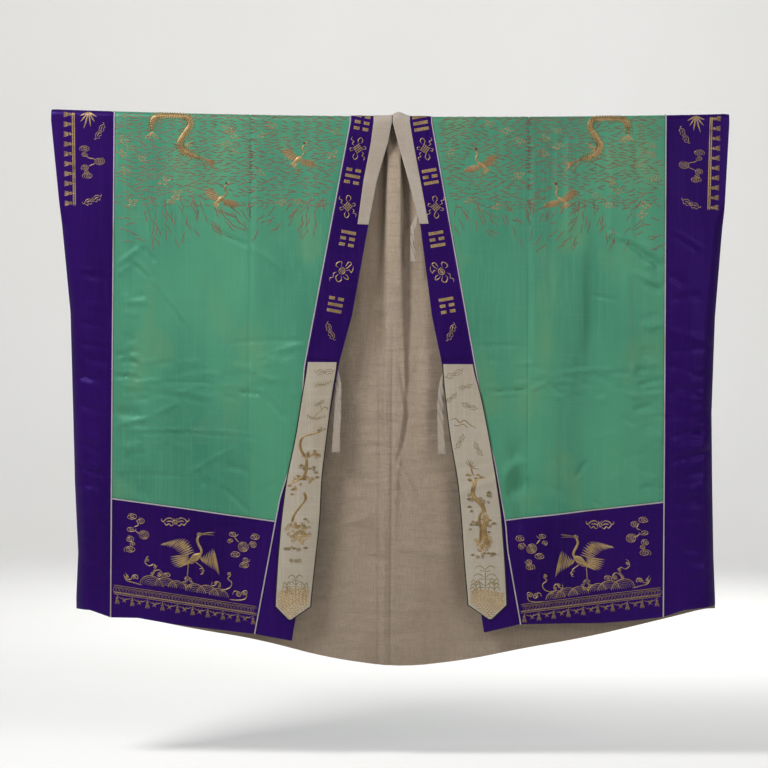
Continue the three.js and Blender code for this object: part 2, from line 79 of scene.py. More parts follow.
def add_node(material, kind, inputs=None, **settings):
    """A node with its inputs set by name or number, each to a value or another node's output."""
    tree = material.node_tree
    node = tree.nodes.new(kind)
    for setting, value in settings.items():
        setattr(node, setting, value)
    for key, value in (inputs or {}).items():
        if isinstance(value, bpy.types.NodeSocket):
            tree.links.new(value, node.inputs[key])
        else:
            node.inputs[key].default_value = value
    return node


def streaks(material, stretch, scale, detail=3.0):
    """Noise in the object's own coordinates, drawn out along the axes whose stretch is small."""
    place = add_node(material, "ShaderNodeTexCoord").outputs["Object"]
    drawn = add_node(material, "ShaderNodeMapping", {"Vector": place, "Scale": stretch})
    noise = add_node(
        material, "ShaderNodeTexNoise", {"Vector": drawn.outputs[0], "Scale": scale, "Detail": detail}
    )
    return noise.outputs["Fac"]


def fade_between(material, factor, low, high, first, second):
    """The first colour where the factor is low, the second where it is high."""
    ranged = add_node(
        material, "ShaderNodeMapRange", {"Value": factor, "From Min": low, "From Max": high}
    )
    mixed = add_node(
        material,
        "ShaderNodeMix",
        {"Factor": ranged.outputs[0], 6: first, 7: second},
        data_type="RGBA",
    )
    return mixed.outputs[2]


def link(material, socket_from, node, socket_to):
    material.node_tree.links.new(socket_from, node.inputs[socket_to])


def raise_by(material, shader, height, distance, strength=1.0, below=None):
    """Bump from a height, laid over another bump if one is given."""
    inputs = {"Height": height, "Distance": distance, "Strength": strength}
    if below is not None:
        inputs["Normal"] = below
    bump = add_node(material, "ShaderNodeBump", inputs)
    link(material, bump.outputs[0], shader, "Normal")
    return bump.outputs[0]


rod_paint, rod_shader = new_finish("rod paint", 0.45)
rod_grain = streaks(rod_paint, (0.6, 9, 9), 30)
link(rod_paint, fade_between(rod_paint, rod_grain, 0.35, 0.7, colour(24, 19, 16), colour(46, 36, 29)),
     rod_shader, "Base Color")
raise_by(rod_paint, rod_shader, rod_grain, 0.0004, 0.5)
rod_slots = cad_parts["rod"].material_slots
for slot in rod_slots:
    slot.material = rod_paint


# The green satin of the fronts. Each front has two strips, half a loom wide at most, seamed together
# and lined with linen. It falls in soft folds, with the sharp creases of a robe long kept folded.
WALL = 2.7  # satin and lining together
LAYER_GAP = 0.3
FOLD_RADIUS = ROD_RADIUS + LAYER_GAP
LOOM_HALF = 347.0
SIDE_SEAM = 688.0
SIGN = {"left": -1, "right": 1}
FRONT, BACK = -1, 1


def table(columns, *rows):
    """A short table with named columns, sorted by the first of them."""
    sorted_rows = np.array(sorted(rows), float)
    return dict(zip(columns.split(), sorted_rows.T))


SIDE_EDGE = table(
    "z left right",
    (0, 846, 846),
    (-216, 823, 835),
    (-480, 796, 815),
    (-720, 788, 808),
    (-910, 782, 811),
    (-1080, 773, 815),
    (-1190, 777, 820),
    (-1240, 776, 820),
)
INNER_EDGE = table(
    "z left right",
    (0, -4, 6),
    (-50, 5, 19),
    (-145, 32, 46),
    (-260, 53, 77),
    (-484, 92, 107),
    (-600, 123, 132),
    (-1290, 236, 245),
)
BAND_SEAM = {"left": (97.3, 0.18), "right": (101.8, 0.1835)}  # its place at the ridge, and its slope
BAND_SWAY = {
    "left": {"top": -600, "bottom": -955, "ease": 130, "inward": 13.5},
    "right": {"top": -760, "bottom": -1080, "ease": 100, "inward": -7},
}
WAIST_SLOPE = {"left": 0.132, "right": 0.12}
WAIST_AT_SIDE = -943.0
FRONT_HEM = table(
    "x left right",
    (230, -1296, -1274),
    (330, -1278, -1250),
    (440, -1266, -1247),
    (540, -1254, -1245),
    (620, -1240, -1238),
    (688, -1239, -1229),
    (740, -1221, -1212),
    (830, -1216, -1200),
)


def rod_height(x):
    return ROD_SAG * (x / HALF_WIDTH) ** 2


def side_edge(side, z):
    return SIGN[side] * np.interp(z, SIDE_EDGE["z"], SIDE_EDGE[side])


def inner_edge(side, z):
    return SIGN[side] * np.interp(z, INNER_EDGE["z"], INNER_EDGE[side])


def smooth(t):
    t = np.clip(t, 0, 1)
    return t * t * (3 - 2 * t)


def band_seam(side, z):
    start, slope = BAND_SEAM[side]
    sway = BAND_SWAY[side]
    below_top = smooth((sway["top"] - z) / sway["ease"])
    above_bottom = smooth((z - sway["bottom"]) / sway["ease"])
    off = sway["inward"] * below_top * above_bottom
    return SIGN[side] * (start - slope * np.minimum(z, 0) - off)


def waist(side, x):
    return WAIST_AT_SIDE - WAIST_SLOPE[side] * np.maximum(SIDE_SEAM - np.abs(x), 0)


def front_hem(side, x):
    return np.interp(np.abs(x), FRONT_HEM["x"], FRONT_HEM[side])


# Largest folds, as in the solids: each lies round x and comes and goes between top and bottom
FRONT_FOLDS = {
    "left": table(
        "x half_width depth top bottom",
        (-600, 46, 6, -150, -930),
        (-505, 40, -5, -260, -1240),
        (-410, 45, 6, -420, -1260),
        (-270, 38, -6, -180, -640),
    ),
    "right": table(
        "x half_width depth top bottom",
        (590, 42, 8, -120, -900),
        (500, 40, -6, -200, -1100),
        (415, 44, 6, -300, -1240),
        (325, 30, -12, -760, -1060),
    ),
}

# Narrower soft folds that catch the light
SOFT_FOLDS = {
    "left": table(
        "x half_width depth top bottom",
        (-655, 15, 1.6, -60, -700),
        (-455, 17, -1.3, -330, -1010),
        (-560, 14, 1.4, -560, -1010),
        (-330, 16, 1.5, -40, -560),
        (-215, 15, -1.4, -60, -420),
        (-735, 20, 2.2, -260, -1200),
    ),
    "right": table(
        "x half_width depth top bottom",
        (366, 11, 2.4, 30, -640),
        (402, 10, -2.6, 20, -520),
        (449, 14, 3.4, 30, -330),
        (474, 18, 3.2, -260, -620),
        (511, 17, -3.2, -170, -620),
        (556, 13, 3.0, 10, -320),
        (592, 12, 2.4, -330, -620),
        (617, 12, -2.8, 0, -330),
        (650, 14, 2.0, -20, -460),
        (431, 8, -1.8, -640, -1010),
        (300, 17, 1.4, -60, -600),
        (752, 20, 2.6, -280, -1190),
    ),
}

# Creases, each a soft ridge or trough between two points. A negative depth is a trough.
CREASES = {
    "left": table(
        "x0 z0 x1 z1 half_width depth",
        (-633, -347, -492, -524, 5, 3.2),
        (-673, -360, -618, -315, 5, 2.6),
        (-618, -315, -583, -355, 5, -2.6),
        (-641, -357, -585, -400, 6, -2.6),
        (-585, -400, -505, -519, 6, -2.4),
        (-675, -385, -643, -360, 5, 1.8),
        (-419, -281, -353, -313, 5, -2.6),
        (-348, -313, -258, -377, 7, 1.6),
        (-409, -556, -197, -547, 4, -1.6),
        (-287, -575, -197, -555, 4, 1.8),
        (-679, -585, -644, -585, 6, -3.4),
        (-659, -590, -614, -612, 5, -2),
        (-684, -640, -639, -637, 5, -3.4),
        (-639, -637, -621, -647, 5, -2.4),
        (-683, -725, -613, -735, 12, -3.5),
        (-678, -765, -591, -740, 5, 2.6),
        (-591, -740, -518, -702, 5, 2.2),
        (-675, -775, -328, -783, 4, 1.8),
        (-675, -781, -328, -789, 4, -1.6),
        (-677, -885, -507, -887, 4, -1.8),
        (-507, -887, -368, -808, 4, 2.2),
        (-405, -858, -345, -873, 9, -3.2),
        (-415, -911, -344, -973, 6, -3.6),
        (-477, -871, -455, -911, 8, -2.4),
        (-369, -678, -319, -680, 5, -3.6),
        (-308, -688, -251, -747, 7, -2.4),
        (-326, -633, -281, -650, 6, 1.8),
        (-677, -885, -592, -942, 14, -3),
        (-571, -654, -396, -656, 5, -1.6),
        (-546, -677, -433, -691, 6, 1.6),
        (-779, -641, -706, -648, 6, -3.2),
        (-772, -558, -712, -563, 6, -2),
        (-776, -706, -716, -728, 8, -2.6),
        (-772, -861, -702, -888, 8, -4),
        (-770, -798, -710, -835, 7, -2.6),
        (-780, -916, -719, -928, 9, 2.4),
    ),
    "right": table(
        "x0 z0 x1 z1 half_width depth",
        (576, -290, 679, -359, 6, -5),
        (546, -275, 582, -292, 6, 2.6),
        (596, -284, 682, -339, 7, 2.6),
        (607, -369, 680, -409, 7, 2.6),
        (635, -399, 680, -416, 6, -3.2),
        (502, -428, 567, -440, 4, -1.8),
        (216, -559, 331, -556, 4, -1.6),
        (456, -620, 531, -610, 4, 2.2),
        (504, -618, 559, -655, 5, -2.4),
        (259, -672, 354, -666, 4, -2.4),
        (354, -666, 396, -648, 4, 2.6),
        (396, -648, 429, -676, 5, -3),
        (429, -626, 629, -614, 5, 1.6),
        (616, -614, 644, -614, 6, -3.8),
        (621, -652, 674, -644, 6, -3.8),
        (612, -714, 657, -704, 7, -3.2),
        (468, -883, 498, -840, 5, -3),
        (511, -940, 533, -955, 5, -2.4),
        (276, -893, 338, -836, 15, 5.5),
        (290, -932, 350, -890, 20, -5),
        (579, -732, 617, -752, 5, -2),
        (706, -269, 782, -316, 5, 2.4),
        (709, -276, 777, -321, 5, -2.2),
        (702, -376, 742, -406, 7, -4.2),
        (707, -439, 777, -428, 8, -2.4),
        (693, -514, 808, -551, 8, 2.2),
        (708, -569, 793, -558, 7, -2.4),
        (699, -604, 809, -638, 6, -2.6),
        (709, -649, 779, -686, 6, -3.2),
        (714, -676, 809, -698, 6, 2.6),
        (704, -721, 799, -738, 8, -2.6),
        (710, -779, 800, -763, 8, -3),
        (710, -819, 805, -801, 7, 2.8),
        (710, -844, 800, -818, 7, -3.8),
        (715, -884, 805, -863, 7, -3.4),
        (711, -914, 795, -898, 7, 2.8),
        (716, -949, 781, -933, 7, -2.6),
        (701, -989, 756, -976, 8, -2.4),
    ),
}


def fine_creases(seed, count, x_range, z_range, length, slope, half_width, depth):
    """Small creases like those that show, spread by chance between two limits each way."""
    chance = np.random.default_rng(seed)
    x0 = chance.uniform(*x_range, count)
    z0 = chance.uniform(*z_range, count)
    run = chance.uniform(*length, count)
    lean = chance.uniform(*slope, count)
    return {
        "x0": x0,
        "z0": z0,
        "x1": x0 + run,
        "z1": z0 + run * lean,
        "half_width": chance.uniform(*half_width, count),
        "depth": chance.uniform(*depth, count) * chance.choice([-1, 1], count),
    }


# Where the robe was folded across when it was stored, a belt of small creases crosses both fronts
FINE_CREASES = {
    "left": [
        fine_creases(3, 44, (-670, -230), (-700, -590), (24, 80), (-0.35, 0.35), (4, 7), (0.7, 1.6)),
        fine_creases(4, 26, (-676, -650), (-930, -420), (26, 60), (-0.3, 0.3), (5, 8), (0.8, 2.0)),
        fine_creases(5, 34, (-775, -745), (-1180, -330), (30, 70), (-0.45, 0.2), (5, 9), (0.9, 2.0)),
        fine_creases(6, 26, (-640, -330), (-1240, -720), (30, 110), (-0.8, 0.8), (5, 10), (0.4, 1.1)),
    ],
    "right": [
        fine_creases(7, 44, (230, 600), (-700, -590), (24, 80), (-0.35, 0.35), (4, 7), (0.7, 1.6)),
        fine_creases(8, 34, (620, 650), (-960, -330), (26, 60), (-0.15, 0.45), (5, 8), (0.9, 2.3)),
        fine_creases(9, 44, (694, 740), (-1180, -480), (40, 90), (-0.2, 0.35), (5, 9), (0.9, 2.4)),
        fine_creases(10, 26, (290, 600), (-1240, -720), (30, 110), (-0.8, 0.8), (5, 10), (0.4, 1.1)),
    ],
}


def fold_depth(folds, x, z):
    total = np.zeros(np.broadcast(x, z).shape)
    for at, half, deep, top, bottom in zip(*(folds[c] for c in "x half_width depth top bottom".split())):
        fade = (top - bottom) / 4
        down = smooth((top - z) / fade) * smooth((z - bottom) / fade)
        total = total + deep * np.exp(-(((x - at) / half) ** 2)) * down
    return total


def crease_depth(creases, x, z):
    """Each crease is deepest at its middle, runs out at its ends and wanders a little."""
    total = np.zeros(np.broadcast(x, z).shape)
    names = "x0 z0 x1 z1 half_width depth".split()
    for x0, z0, x1, z1, half, deep in zip(*(creases[name] for name in names)):
        length = math.hypot(x1 - x0, z1 - z0)
        along = ((x - x0) * (x1 - x0) + (z - z0) * (z1 - z0)) / length**2
        off = ((z - z0) * (x1 - x0) - (x - x0) * (z1 - z0)) / length
        wander = 0.07 * half * np.sin(along * 7 + x0) + 0.02 * length * np.sin(np.pi * along)
        reach = smooth(along / 0.3 + 0.3) * smooth((1 - along) / 0.3 + 0.3)
        total = total + deep * np.exp(-(((off - wander) / half) ** 2)) * reach
    return total


def slow_waves(x, z, size):
    """The slight unevenness of hanging cloth, drawn out downwards."""
    return size * (
        np.sin(x / 31 + np.sin(z / 170)) * 0.45
        + np.sin(x / 73 + 1.3 + z / 410) * 0.8
        + np.sin(z / 58 + x / 190 + 0.7) * 0.22
        + np.sin(x / 17 + z / 95) * 0.16
    )


# The armholes end at this drop from the ridge, and below them the walls close over these lengths
ARMHOLE_DEEP = 205.0
ARMHOLE_EASE = 80.0
CLOSING_REACH = 30.0


def armhole_closing(side, x, z):
    """1 where the walls stand apart, and down to 0 at the side seam below the armhole."""
    drop = rod_height(x) - z
    opened = 1 - smooth((drop - ARMHOLE_DEEP) / ARMHOLE_EASE)
    in_from_edge = np.maximum(np.abs(side_edge(side, z)) - np.abs(x), 0)
    closed = np.sin(np.pi / 2 * np.minimum(in_from_edge / CLOSING_REACH, 1))
    return opened + (1 - opened) * closed


# The fronts stand off the rod's line by a little all over, and by more along their open edges
SPREAD_DROP = 700.0
FRONT_SPREAD = 8.0
EDGE_FORWARD = 12.0
EDGE_LENGTH = 1300.0
EDGE_REACH = 250.0
SOFT_FOLD_SCALE, CREASE_SCALE, FINE_CREASE_SCALE = 1.5, 1.4, 1.25
# Folds and creases begin this far from the edge band's seam or the ridge, and grow over this length
FOLD_START, FOLD_EASE = 10.0, 50.0
CREASE_START, CREASE_EASE = 4.0, 26.0
RIDGE_EASE = 60.0


def front_depth(side, x, z):
    """How far the inside of a front stands forward of the rod's axis."""
    drop = np.maximum(rod_height(x) - z, 0)
    base = FOLD_RADIUS + FRONT_SPREAD * smooth(drop / SPREAD_DROP)
    from_band = np.maximum(np.abs(x) - np.abs(band_seam(side, z)), 0)
    forward = EDGE_FORWARD * np.sin(np.pi * np.minimum(drop / EDGE_LENGTH, 1)) ** 1.5
    lift = forward * (1 - smooth(from_band / EDGE_REACH))
    folds = fold_depth(FRONT_FOLDS[side], x, z) * smooth((from_band - FOLD_START) / FOLD_EASE)
    small = SOFT_FOLD_SCALE * fold_depth(SOFT_FOLDS[side], x, z)
    small = small + CREASE_SCALE * crease_depth(CREASES[side], x, z)
    for creases in FINE_CREASES[side]:
        small = small + FINE_CREASE_SCALE * crease_depth(creases, x, z)
    small = small + slow_waves(x, z, 1.0)
    small = small * smooth((from_band - CREASE_START) / CREASE_EASE) * smooth(drop / RIDGE_EASE)
    return LAYER_GAP / 2 + (base + lift + folds + small - LAYER_GAP / 2) * armhole_closing(side, x, z)


def on_wall(face, depth, x, z):
    """Places on a hanging wall, each a point of its inside and the way out from it."""
    way = np.broadcast_to([0.0, face, 0.0], (*x.shape, 3))
    return np.stack([np.stack([x, face * depth, z], axis=-1), way])


def over_rod(face, x, angle):
    """Places on the cloth over the rod, by the angle from its top."""
    way = np.stack([0 * x, face * np.sin(angle), np.cos(angle)], axis=-1)
    axis = np.stack([x, 0 * x, rod_height(x)], axis=-1)
    return np.stack([axis + FOLD_RADIUS * way, way])


def out_from(places, out):
    return places[0] + places[1] * np.asarray(out, float)[..., None]


TURNED_CELLS = (0.8, 2.2)  # how far in the two narrow cells of a turned edge end
SEAM_DIP = 0.62  # how far a seamed edge dips, as a share of the cloth's thickness
SIDE_DIP_REACH = 3.0
END_DIP_REACH = 2.2


def spaced(length, cell):
    """Shares of a length, a cell apart, with narrow cells at both ends for the turned edges."""
    inside = np.linspace(0, 1, max(int(round(length / cell)), 3) + 1)[1:-1]
    edge = np.array(TURNED_CELLS) / length
    inside = inside[(inside > 1.6 * edge[1]) & (inside < 1 - 1.6 * edge[1])]
    return np.concatenate([[0], edge, inside, 1 - edge[::-1], [1]])


def graded(length, *steps):
    """Shares of a length in cells that change size: each step says how far and with what cell."""
    ends = [0.0, *TURNED_CELLS]
    for reach, cell in steps:
        count = max(int((reach - ends[-1]) / cell), 1)
        ends += list(np.linspace(ends[-1], reach, count + 1)[1:])
    last = [1 - cell / length for cell in TURNED_CELLS[::-1]]
    return np.append(np.array(ends[:-1]) / length, [*last, 1])


def dip_at_ends(shares, length, deep, reach):
    """How far a cloth's face dips towards its turned or seamed edges."""
    inside = np.minimum(shares, 1 - shares) * length
    return deep * np.exp(-((inside / reach) ** 2))


def net_between(left, right, top, bottom, across, down):
    """The x and z of a net that fills the space between four edges."""
    u, v = np.meshgrid(across, down)
    z = -600.0 * v
    for turn in range(12):
        x = left(z) * (1 - u) + right(z) * u
        z = top(x) * (1 - v) + bottom(x) * v
    return x, z


ARC = np.linspace(0, np.pi / 2, 9)[:-1]


def arc_places(face, left, right, across, angles=ARC):
    x, angle = np.meshgrid(left(0.0) * (1 - across) + right(0.0) * across, angles)
    return over_rod(face, x, angle)


def add_piece(name, points, faces, finishes, face_finish=None):
    """A mesh from points in millimetres and rows of corners, which rides on the robe."""
    mesh = bpy.data.meshes.new(name)
    points = np.asarray(points, float).reshape(-1, 3) * 0.001
    faces = np.asarray(faces, int)
    mesh.vertices.add(len(points))
    mesh.vertices.foreach_set("co", points.ravel())
    mesh.loops.add(faces.size)
    mesh.loops.foreach_set("vertex_index", faces.ravel())
    mesh.polygons.add(len(faces))
    mesh.polygons.foreach_set("loop_start", np.arange(0, faces.size, faces.shape[1]))
    for finish in finishes:
        mesh.materials.append(finish)
    if face_finish is not None:
        mesh.polygons.foreach_set("material_index", np.asarray(face_finish, int))
    mesh.update(calc_edges=True)
    mesh.validate()
    mesh.polygons.foreach_set("use_smooth", np.ones(len(mesh.polygons), bool))
    mesh.set_sharp_from_angle(angle=math.radians(55))
    piece = bpy.data.objects.new(name, mesh)
    bpy.context.scene.collection.objects.link(piece)
    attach(piece, "root")
    return piece


def add_cloth(name, outer, inner, finishes):
    """A closed wall of cloth between two nets, with turned edges. A second finish is for its inside."""
    rows, columns = outer.shape[:2]
    outside = np.arange(rows * columns).reshape(rows, columns)
    inside = outside + rows * columns

    def cells(net):
        return np.stack([net[:-1, :-1], net[1:, :-1], net[1:, 1:], net[:-1, 1:]], axis=-1).reshape(-1, 4)

    def rim(near, far):
        return np.stack([near[:-1], near[1:], far[1:], far[:-1]], axis=-1)

    faces = [cells(outside), cells(inside)[:, ::-1]]
    faces.append(rim(outside[0], inside[0]))
    faces.append(rim(outside[-1, ::-1], inside[-1, ::-1]))
    faces.append(rim(outside[::-1, 0], inside[::-1, 0]))
    faces.append(rim(outside[:, -1], inside[:, -1]))
    finish = np.repeat([0, min(len(finishes) - 1, 1), 0, 0, 0, 0], [len(part) for part in faces])
    faces = np.concatenate(faces)
    points = np.concatenate([outer.reshape(-1, 3), inner.reshape(-1, 3)])
    middle = faces[len(outside) // 2]
    normal = np.cross(points[middle[1]] - points[middle[0]], points[middle[2]] - points[middle[0]])
    away = outer.reshape(-1, 3)[middle[0]] - inner.reshape(-1, 3)[middle[0]]
    if normal @ away < 0:
        faces = faces[:, ::-1]
    return add_piece(name, points, faces, finishes, finish)


def wall_cloth(name, depth_of, face, edges, size, finishes, start, thick, over, cell=5.5, across=None):
    """A panel of a wall between four edges, carried up over the rod if its top lies there."""
    left, right, top, bottom = edges
    across = spaced(size[0], cell) if across is None else across
    down = spaced(size[1], cell)
    x, z = net_between(left, right, top, bottom, across, down)
    places = on_wall(face, depth_of(x, z), x, z)
    deep = SEAM_DIP * thick
    side_dips = dip_at_ends(across, size[0], deep, SIDE_DIP_REACH)
    end_dips = dip_at_ends(down, size[1], deep, END_DIP_REACH)
    if over:
        end_dips = end_dips * (down > 0.5)
        end_dips = np.concatenate([0 * ARC, end_dips])
        places = np.concatenate([arc_places(face, left, right, across), places], axis=1)
    dips = side_dips[None, :] + end_dips[:, None]
    outer = out_from(places, start + thick - dips)
    inner = out_from(places, start + 0 * dips)
    return add_cloth(name, outer, inner, finishes)


def straight(at):
    return lambda z: at + 0 * np.asarray(z, float)


def satin(name, tone, shade, thread, cloud, gloss=0.4, shine=0.3, tint=(1.0, 1.0, 1.0)):
    """Satin: a broad soft gloss in the silk's own tint, faint drawn threads and a slow change of tone."""
    material, shader = new_finish(name, gloss, Specular_IOR_Level=shine, Specular_Tint=(*tint, 1.0))
    warp = streaks(material, (260, 260, 3), 1.0, 3.0)
    weft = streaks(material, (7, 7, 330), 1.0, 2.0)
    floats = streaks(material, (1500, 1500, 350), 1.0, 1.0)
    base = fade_between(material, streaks(material, (4, 4, 1.6), 1.0, 3.0), 0.35, 0.68, tone, shade)
    base = fade_between(material, streaks(material, (9, 9, 5), 1.0, 5.0), 0.54, 0.84, base, cloud)
    base = fade_between(material, warp, 0.5, 1.1, base, thread)
    base = fade_between(material, weft, 0.55, 1.3, base, thread)
    base = fade_between(material, floats, 0.35, 1.6, base, shade)
    link(material, base, shader, "Base Color")
    first = raise_by(material, shader, weft, 0.0002, 0.22)
    second = raise_by(material, shader, warp, 0.0003, 0.3, first)
    raise_by(material, shader, floats, 0.0001, 0.5, second)
    return material


def plain_weave(name, tone, shade, thread, stain, painted_low_shade, coarse=1.0, height=0.0006, rumple=0.002):
    """Linen or cotton in plain weave, with uneven threads and marks of age, and painted shade that darkens it
    towards the floor.
    """
    material, shader = new_finish(name, 0.9, Specular_IOR_Level=0.2, Sheen_Weight=0.1, Sheen_Roughness=0.6)
    weft = streaks(material, (40 / coarse, 40 / coarse, 760 / coarse), 1.0, 3.0)
    warp = streaks(material, (760 / coarse, 760 / coarse, 36 / coarse), 1.0, 3.0)
    slubs = streaks(material, (16, 16, 300 / coarse), 1.0, 2.0)
    base = fade_between(material, weft, 0.3, 0.85, tone, shade)
    base = fade_between(material, warp, 0.42, 0.95, base, thread)
    base = fade_between(material, slubs, 0.6, 0.95, base, shade)
    base = fade_between(material, streaks(material, (5, 5, 4), 1.0, 4.0), 0.52, 0.85, base, stain)
    # Painted shade: lower down the cloth the colour fades towards a darker one, standing in for the light
    # falling off towards the floor.
    place = add_node(material, "ShaderNodeTexCoord").outputs["Object"]
    level = add_node(material, "ShaderNodeSeparateXYZ", {"Vector": place}).outputs["Z"]
    base = fade_between(material, level, -4.0, -0.2, painted_low_shade, base)
    link(material, base, shader, "Base Color")
    first = raise_by(material, shader, weft, height, 0.6)
    second = raise_by(material, shader, warp, height, 0.5, first)
    third = raise_by(material, shader, slubs, height, 0.3, second)
    raise_by(material, shader, streaks(material, (11, 11, 52), 1.0, 3.0), rumple, 0.5, third)
    return material


green_satin = satin(
    "green satin", colour(70, 133, 102), colour(50, 110, 88), colour(84, 140, 106), colour(94, 132, 92),
    gloss=0.5, shine=0.55, tint=(0.45, 1.0, 0.75),
)
# The lining's darker colour towards its hem is painted shade.
lining_linen = plain_weave(
    "lining linen", colour(159, 143, 125), colour(134, 118, 101), colour(177, 161, 143), colour(132, 115, 97),
    painted_low_shade=colour(84, 72, 62), rumple=0.007,
)

for side in SIGN:
    band_line = partial(band_seam, side)
    loom_line = straight(SIGN[side] * LOOM_HALF)
    seam_line = straight(SIGN[side] * SIDE_SEAM)
    for strip, left, right, width, flat, area in (
        ("inner", band_line, loom_line, 165, (0.25, 1.03), 0.175),
        ("outer", loom_line, seam_line, 341, (0.345, 1.01), 0.341),
    ):
        piece = wall_cloth(
            f"front_satin_{strip}_{side}", partial(front_depth, side), FRONT,
            (left, right, rod_height, partial(waist, side)), (width, 1000), [green_satin, lining_linen],
            0, WALL, over=True,
        )
        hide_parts(f"front_silk_{strip}_{side}")


# The purple satin of the fronts. A band runs up each inner edge, a wide one down each side, and a
# panel lies across the hem between them. They are seamed to the green and lined with it.
purple_satin = satin(
    "purple satin", colour(38, 9, 80), colour(26, 4, 60), colour(50, 20, 92), colour(42, 12, 76),
    gloss=0.42, shine=0.3, tint=(0.35, 0.2, 1.0),
)

for side in SIGN:
    inner_line = partial(inner_edge, side)
    band_line = partial(band_seam, side)
    side_line = partial(side_edge, side)
    waist_line = partial(waist, side)
    seam_line = straight(SIGN[side] * SIDE_SEAM)
    for name, node, left, right, top, size, cell, flat, area in (
        ("edge_band", "front_band", inner_line, band_line, rod_height,
         (90, 1290), 8.0, (0.105, 1.31), 0.12),
        ("side_band", "front_side_band", seam_line, side_line, rod_height,
         (125, 1240), 6.5, (0.16, 1.25), 0.152),
        ("hem_panel", "front_hem_panel", band_line, seam_line, waist_line,
         (400, 270), 5.5, (0.42, 0.3), 0.11),
    ):
        piece = wall_cloth(
            f"{name}_{side}", partial(front_depth, side), FRONT, (left, right, top, partial(front_hem, side)),
            size, [purple_satin, lining_linen], 0, WALL, over=top is rod_height, cell=cell,
        )
        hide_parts(f"{node}_{side}")


# The back. It is cut like the fronts but closed down the middle, where the extra width stands
# forward in a pinched ridge. Its hem is a shallow arc. Linen of its own lines it from edge to edge.
LINING_THICK = 1.0
BACK_START = LINING_THICK + LAYER_GAP
BACK_THICK = 1.4
BACK_OUTSIDE = BACK_START + BACK_THICK
BACK_SPREAD = 9.0
SLACK_SHARE = 0.45  # how much deeper slack satin lies in a crease than the lining
CENTRE_SEAM = 5.0
HEM_BAND_DEEP = 297.0
BACK_HEM = table(
    "x z",
    (-830, -1216),
    (-735, -1222),
    (-635, -1240),
    (-510, -1266),
    (-327, -1295),
    (-142, -1342),
    (33, -1364),
    (208, -1343),
    (350, -1312),
    (493, -1287),
    (635, -1253),
    (792, -1213),
    (830, -1201),
)
BACK_FOLDS = table(
    "x half_width depth top bottom",
    (-590, 62, 7, -200, -1230),
    (-430, 58, -6, -350, -1260),
    (-210, 60, 6, -160, -1200),
    (-26, 17, 11, -40, -680),
    (47, 15, 9, -40, -620),
    (104, 26, -5, -230, -900),
    (240, 60, 7, -160, -1250),
    (440, 58, -6, -300, -1240),
    (600, 60, 7, -180, -1220),
)
PINCH = table(
    "z start end depth",
    (-24, -4, 26, 0),
    (-85, -4, 26, 20),
    (-320, -4, 28, 23),
    (-580, -5, 38, 14),
    (-720, -8, 38, 10),
    (-880, 2, 22, 5),
    (-1050, 5, 12, 0),
)
BACK_CREASES = table(
    "x0 z0 x1 z1 half_width depth",
    (-640, -420, -430, -470, 6, 2.2),
    (-610, -615, -380, -640, 6, -2.4),
    (-560, -655, -240, -640, 5, 1.8),
    (-330, -700, -180, -760, 7, -2.0),
    (-655, -880, -420, -850, 6, 2.2),
    (260, -590, 620, -625, 5, 2.0),
    (300, -640, 560, -655, 5, -2.2),
    (480, -380, 650, -330, 6, 2.4),
    (350, -860, 640, -905, 6, -2.2),
    (-770, -560, -700, -600, 7, -2.4),
    (700, -540, 780, -570, 7, -2.4),
    (705, -820, 790, -800, 7, 2.4),
    (-90, -630, -14, -622, 4, -1.2),
    (-210, -655, -30, -640, 5, 1.3),
    (-120, -735, -30, -728, 4, -1.0),
    (55, -645, 150, -655, 4, -1.2),
    (60, -700, 190, -690, 5, 1.2),
    (-150, -900, 120, -915, 5, -1.1),
    (-180, -1130, 60, -1118, 5, 1.2),
    (27, -610, 47, -740, 5, 4.5),
    (47, -725, 20, -860, 5, 5.0),
    (18, -845, 70, -935, 7, -5.0),
    (8, -860, 54, -950, 6, 4.0),
    (-150, -1010, -24, -985, 8, -3.2),
    (-120, -1225, 30, -1240, 8, 2.6),
    (20, -1060, 160, -1085, 8, -3.2),
    (40, -1190, 190, -1215, 8, 3.2),
    (-165, -790, -60, -815, 7, 3.0),
    (80, -800, 170, -780, 7, -3.0),
    (-160, -640, -50, -655, 7, -2.8),
    (-170, -905, -70, -880, 7, 2.8),
)
BACK_FINE_CREASES = [
    fine_creases(11, 80, (-210, 130), (-1320, -380), (40, 130), (-0.16, 0.16), (5, 9), (0.8, 2.2)),
    fine_creases(12, 40, (-670, -230), (-700, -590), (24, 80), (-0.35, 0.35), (4, 7), (0.8, 1.8)),
    fine_creases(13, 40, (200, 610), (-700, -590), (24, 80), (-0.35, 0.35), (4, 7), (0.8, 1.8)),
    fine_creases(14, 44, (-660, 600), (-1260, -260), (40, 130), (-0.8, 0.8), (5, 10), (0.6, 1.6)),
    fine_creases(15, 26, (-775, -735), (-1180, -330), (30, 70), (-0.45, 0.2), (5, 9), (0.9, 2.0)),
    fine_creases(16, 26, (694, 740), (-1180, -330), (30, 70), (-0.2, 0.45), (5, 9), (0.9, 2.0)),
]
LINING_FOLDS = table(
    "x half_width depth top bottom",
    (-52, 9, 2.6, -330, -760),
    (-72, 10, -2.6, -120, -560),
    (-98, 12, -2.2, -420, -1000),
    (72, 9, 2.6, -260, -720),
    (95, 11, -2.4, -380, -860),
    (-10, 16, -2.0, -820, -1330),
    (40, 15, 2.0, -860, -1300),
    (-150, 22, -2.4, -700, -1320),
    (150, 24, -2.2, -780, -1300),
    (-66, 18, 2.2, -860, -1340),
    (108, 18, 2.0, -900, -1320),
    (-21, 4, 2.4, -420, -1700),
    (-8, 7, -2.6, -420, -1700),
    (10, 4, 3.4, -420, -1700),
)


def eased(rows, column, at, steps):
    """A column of a table by its first one, with its corners eased: the mean over some steps aside."""
    first = next(iter(rows))
    return sum(np.interp(at + step, rows[first], rows[column]) for step in steps) / len(steps)


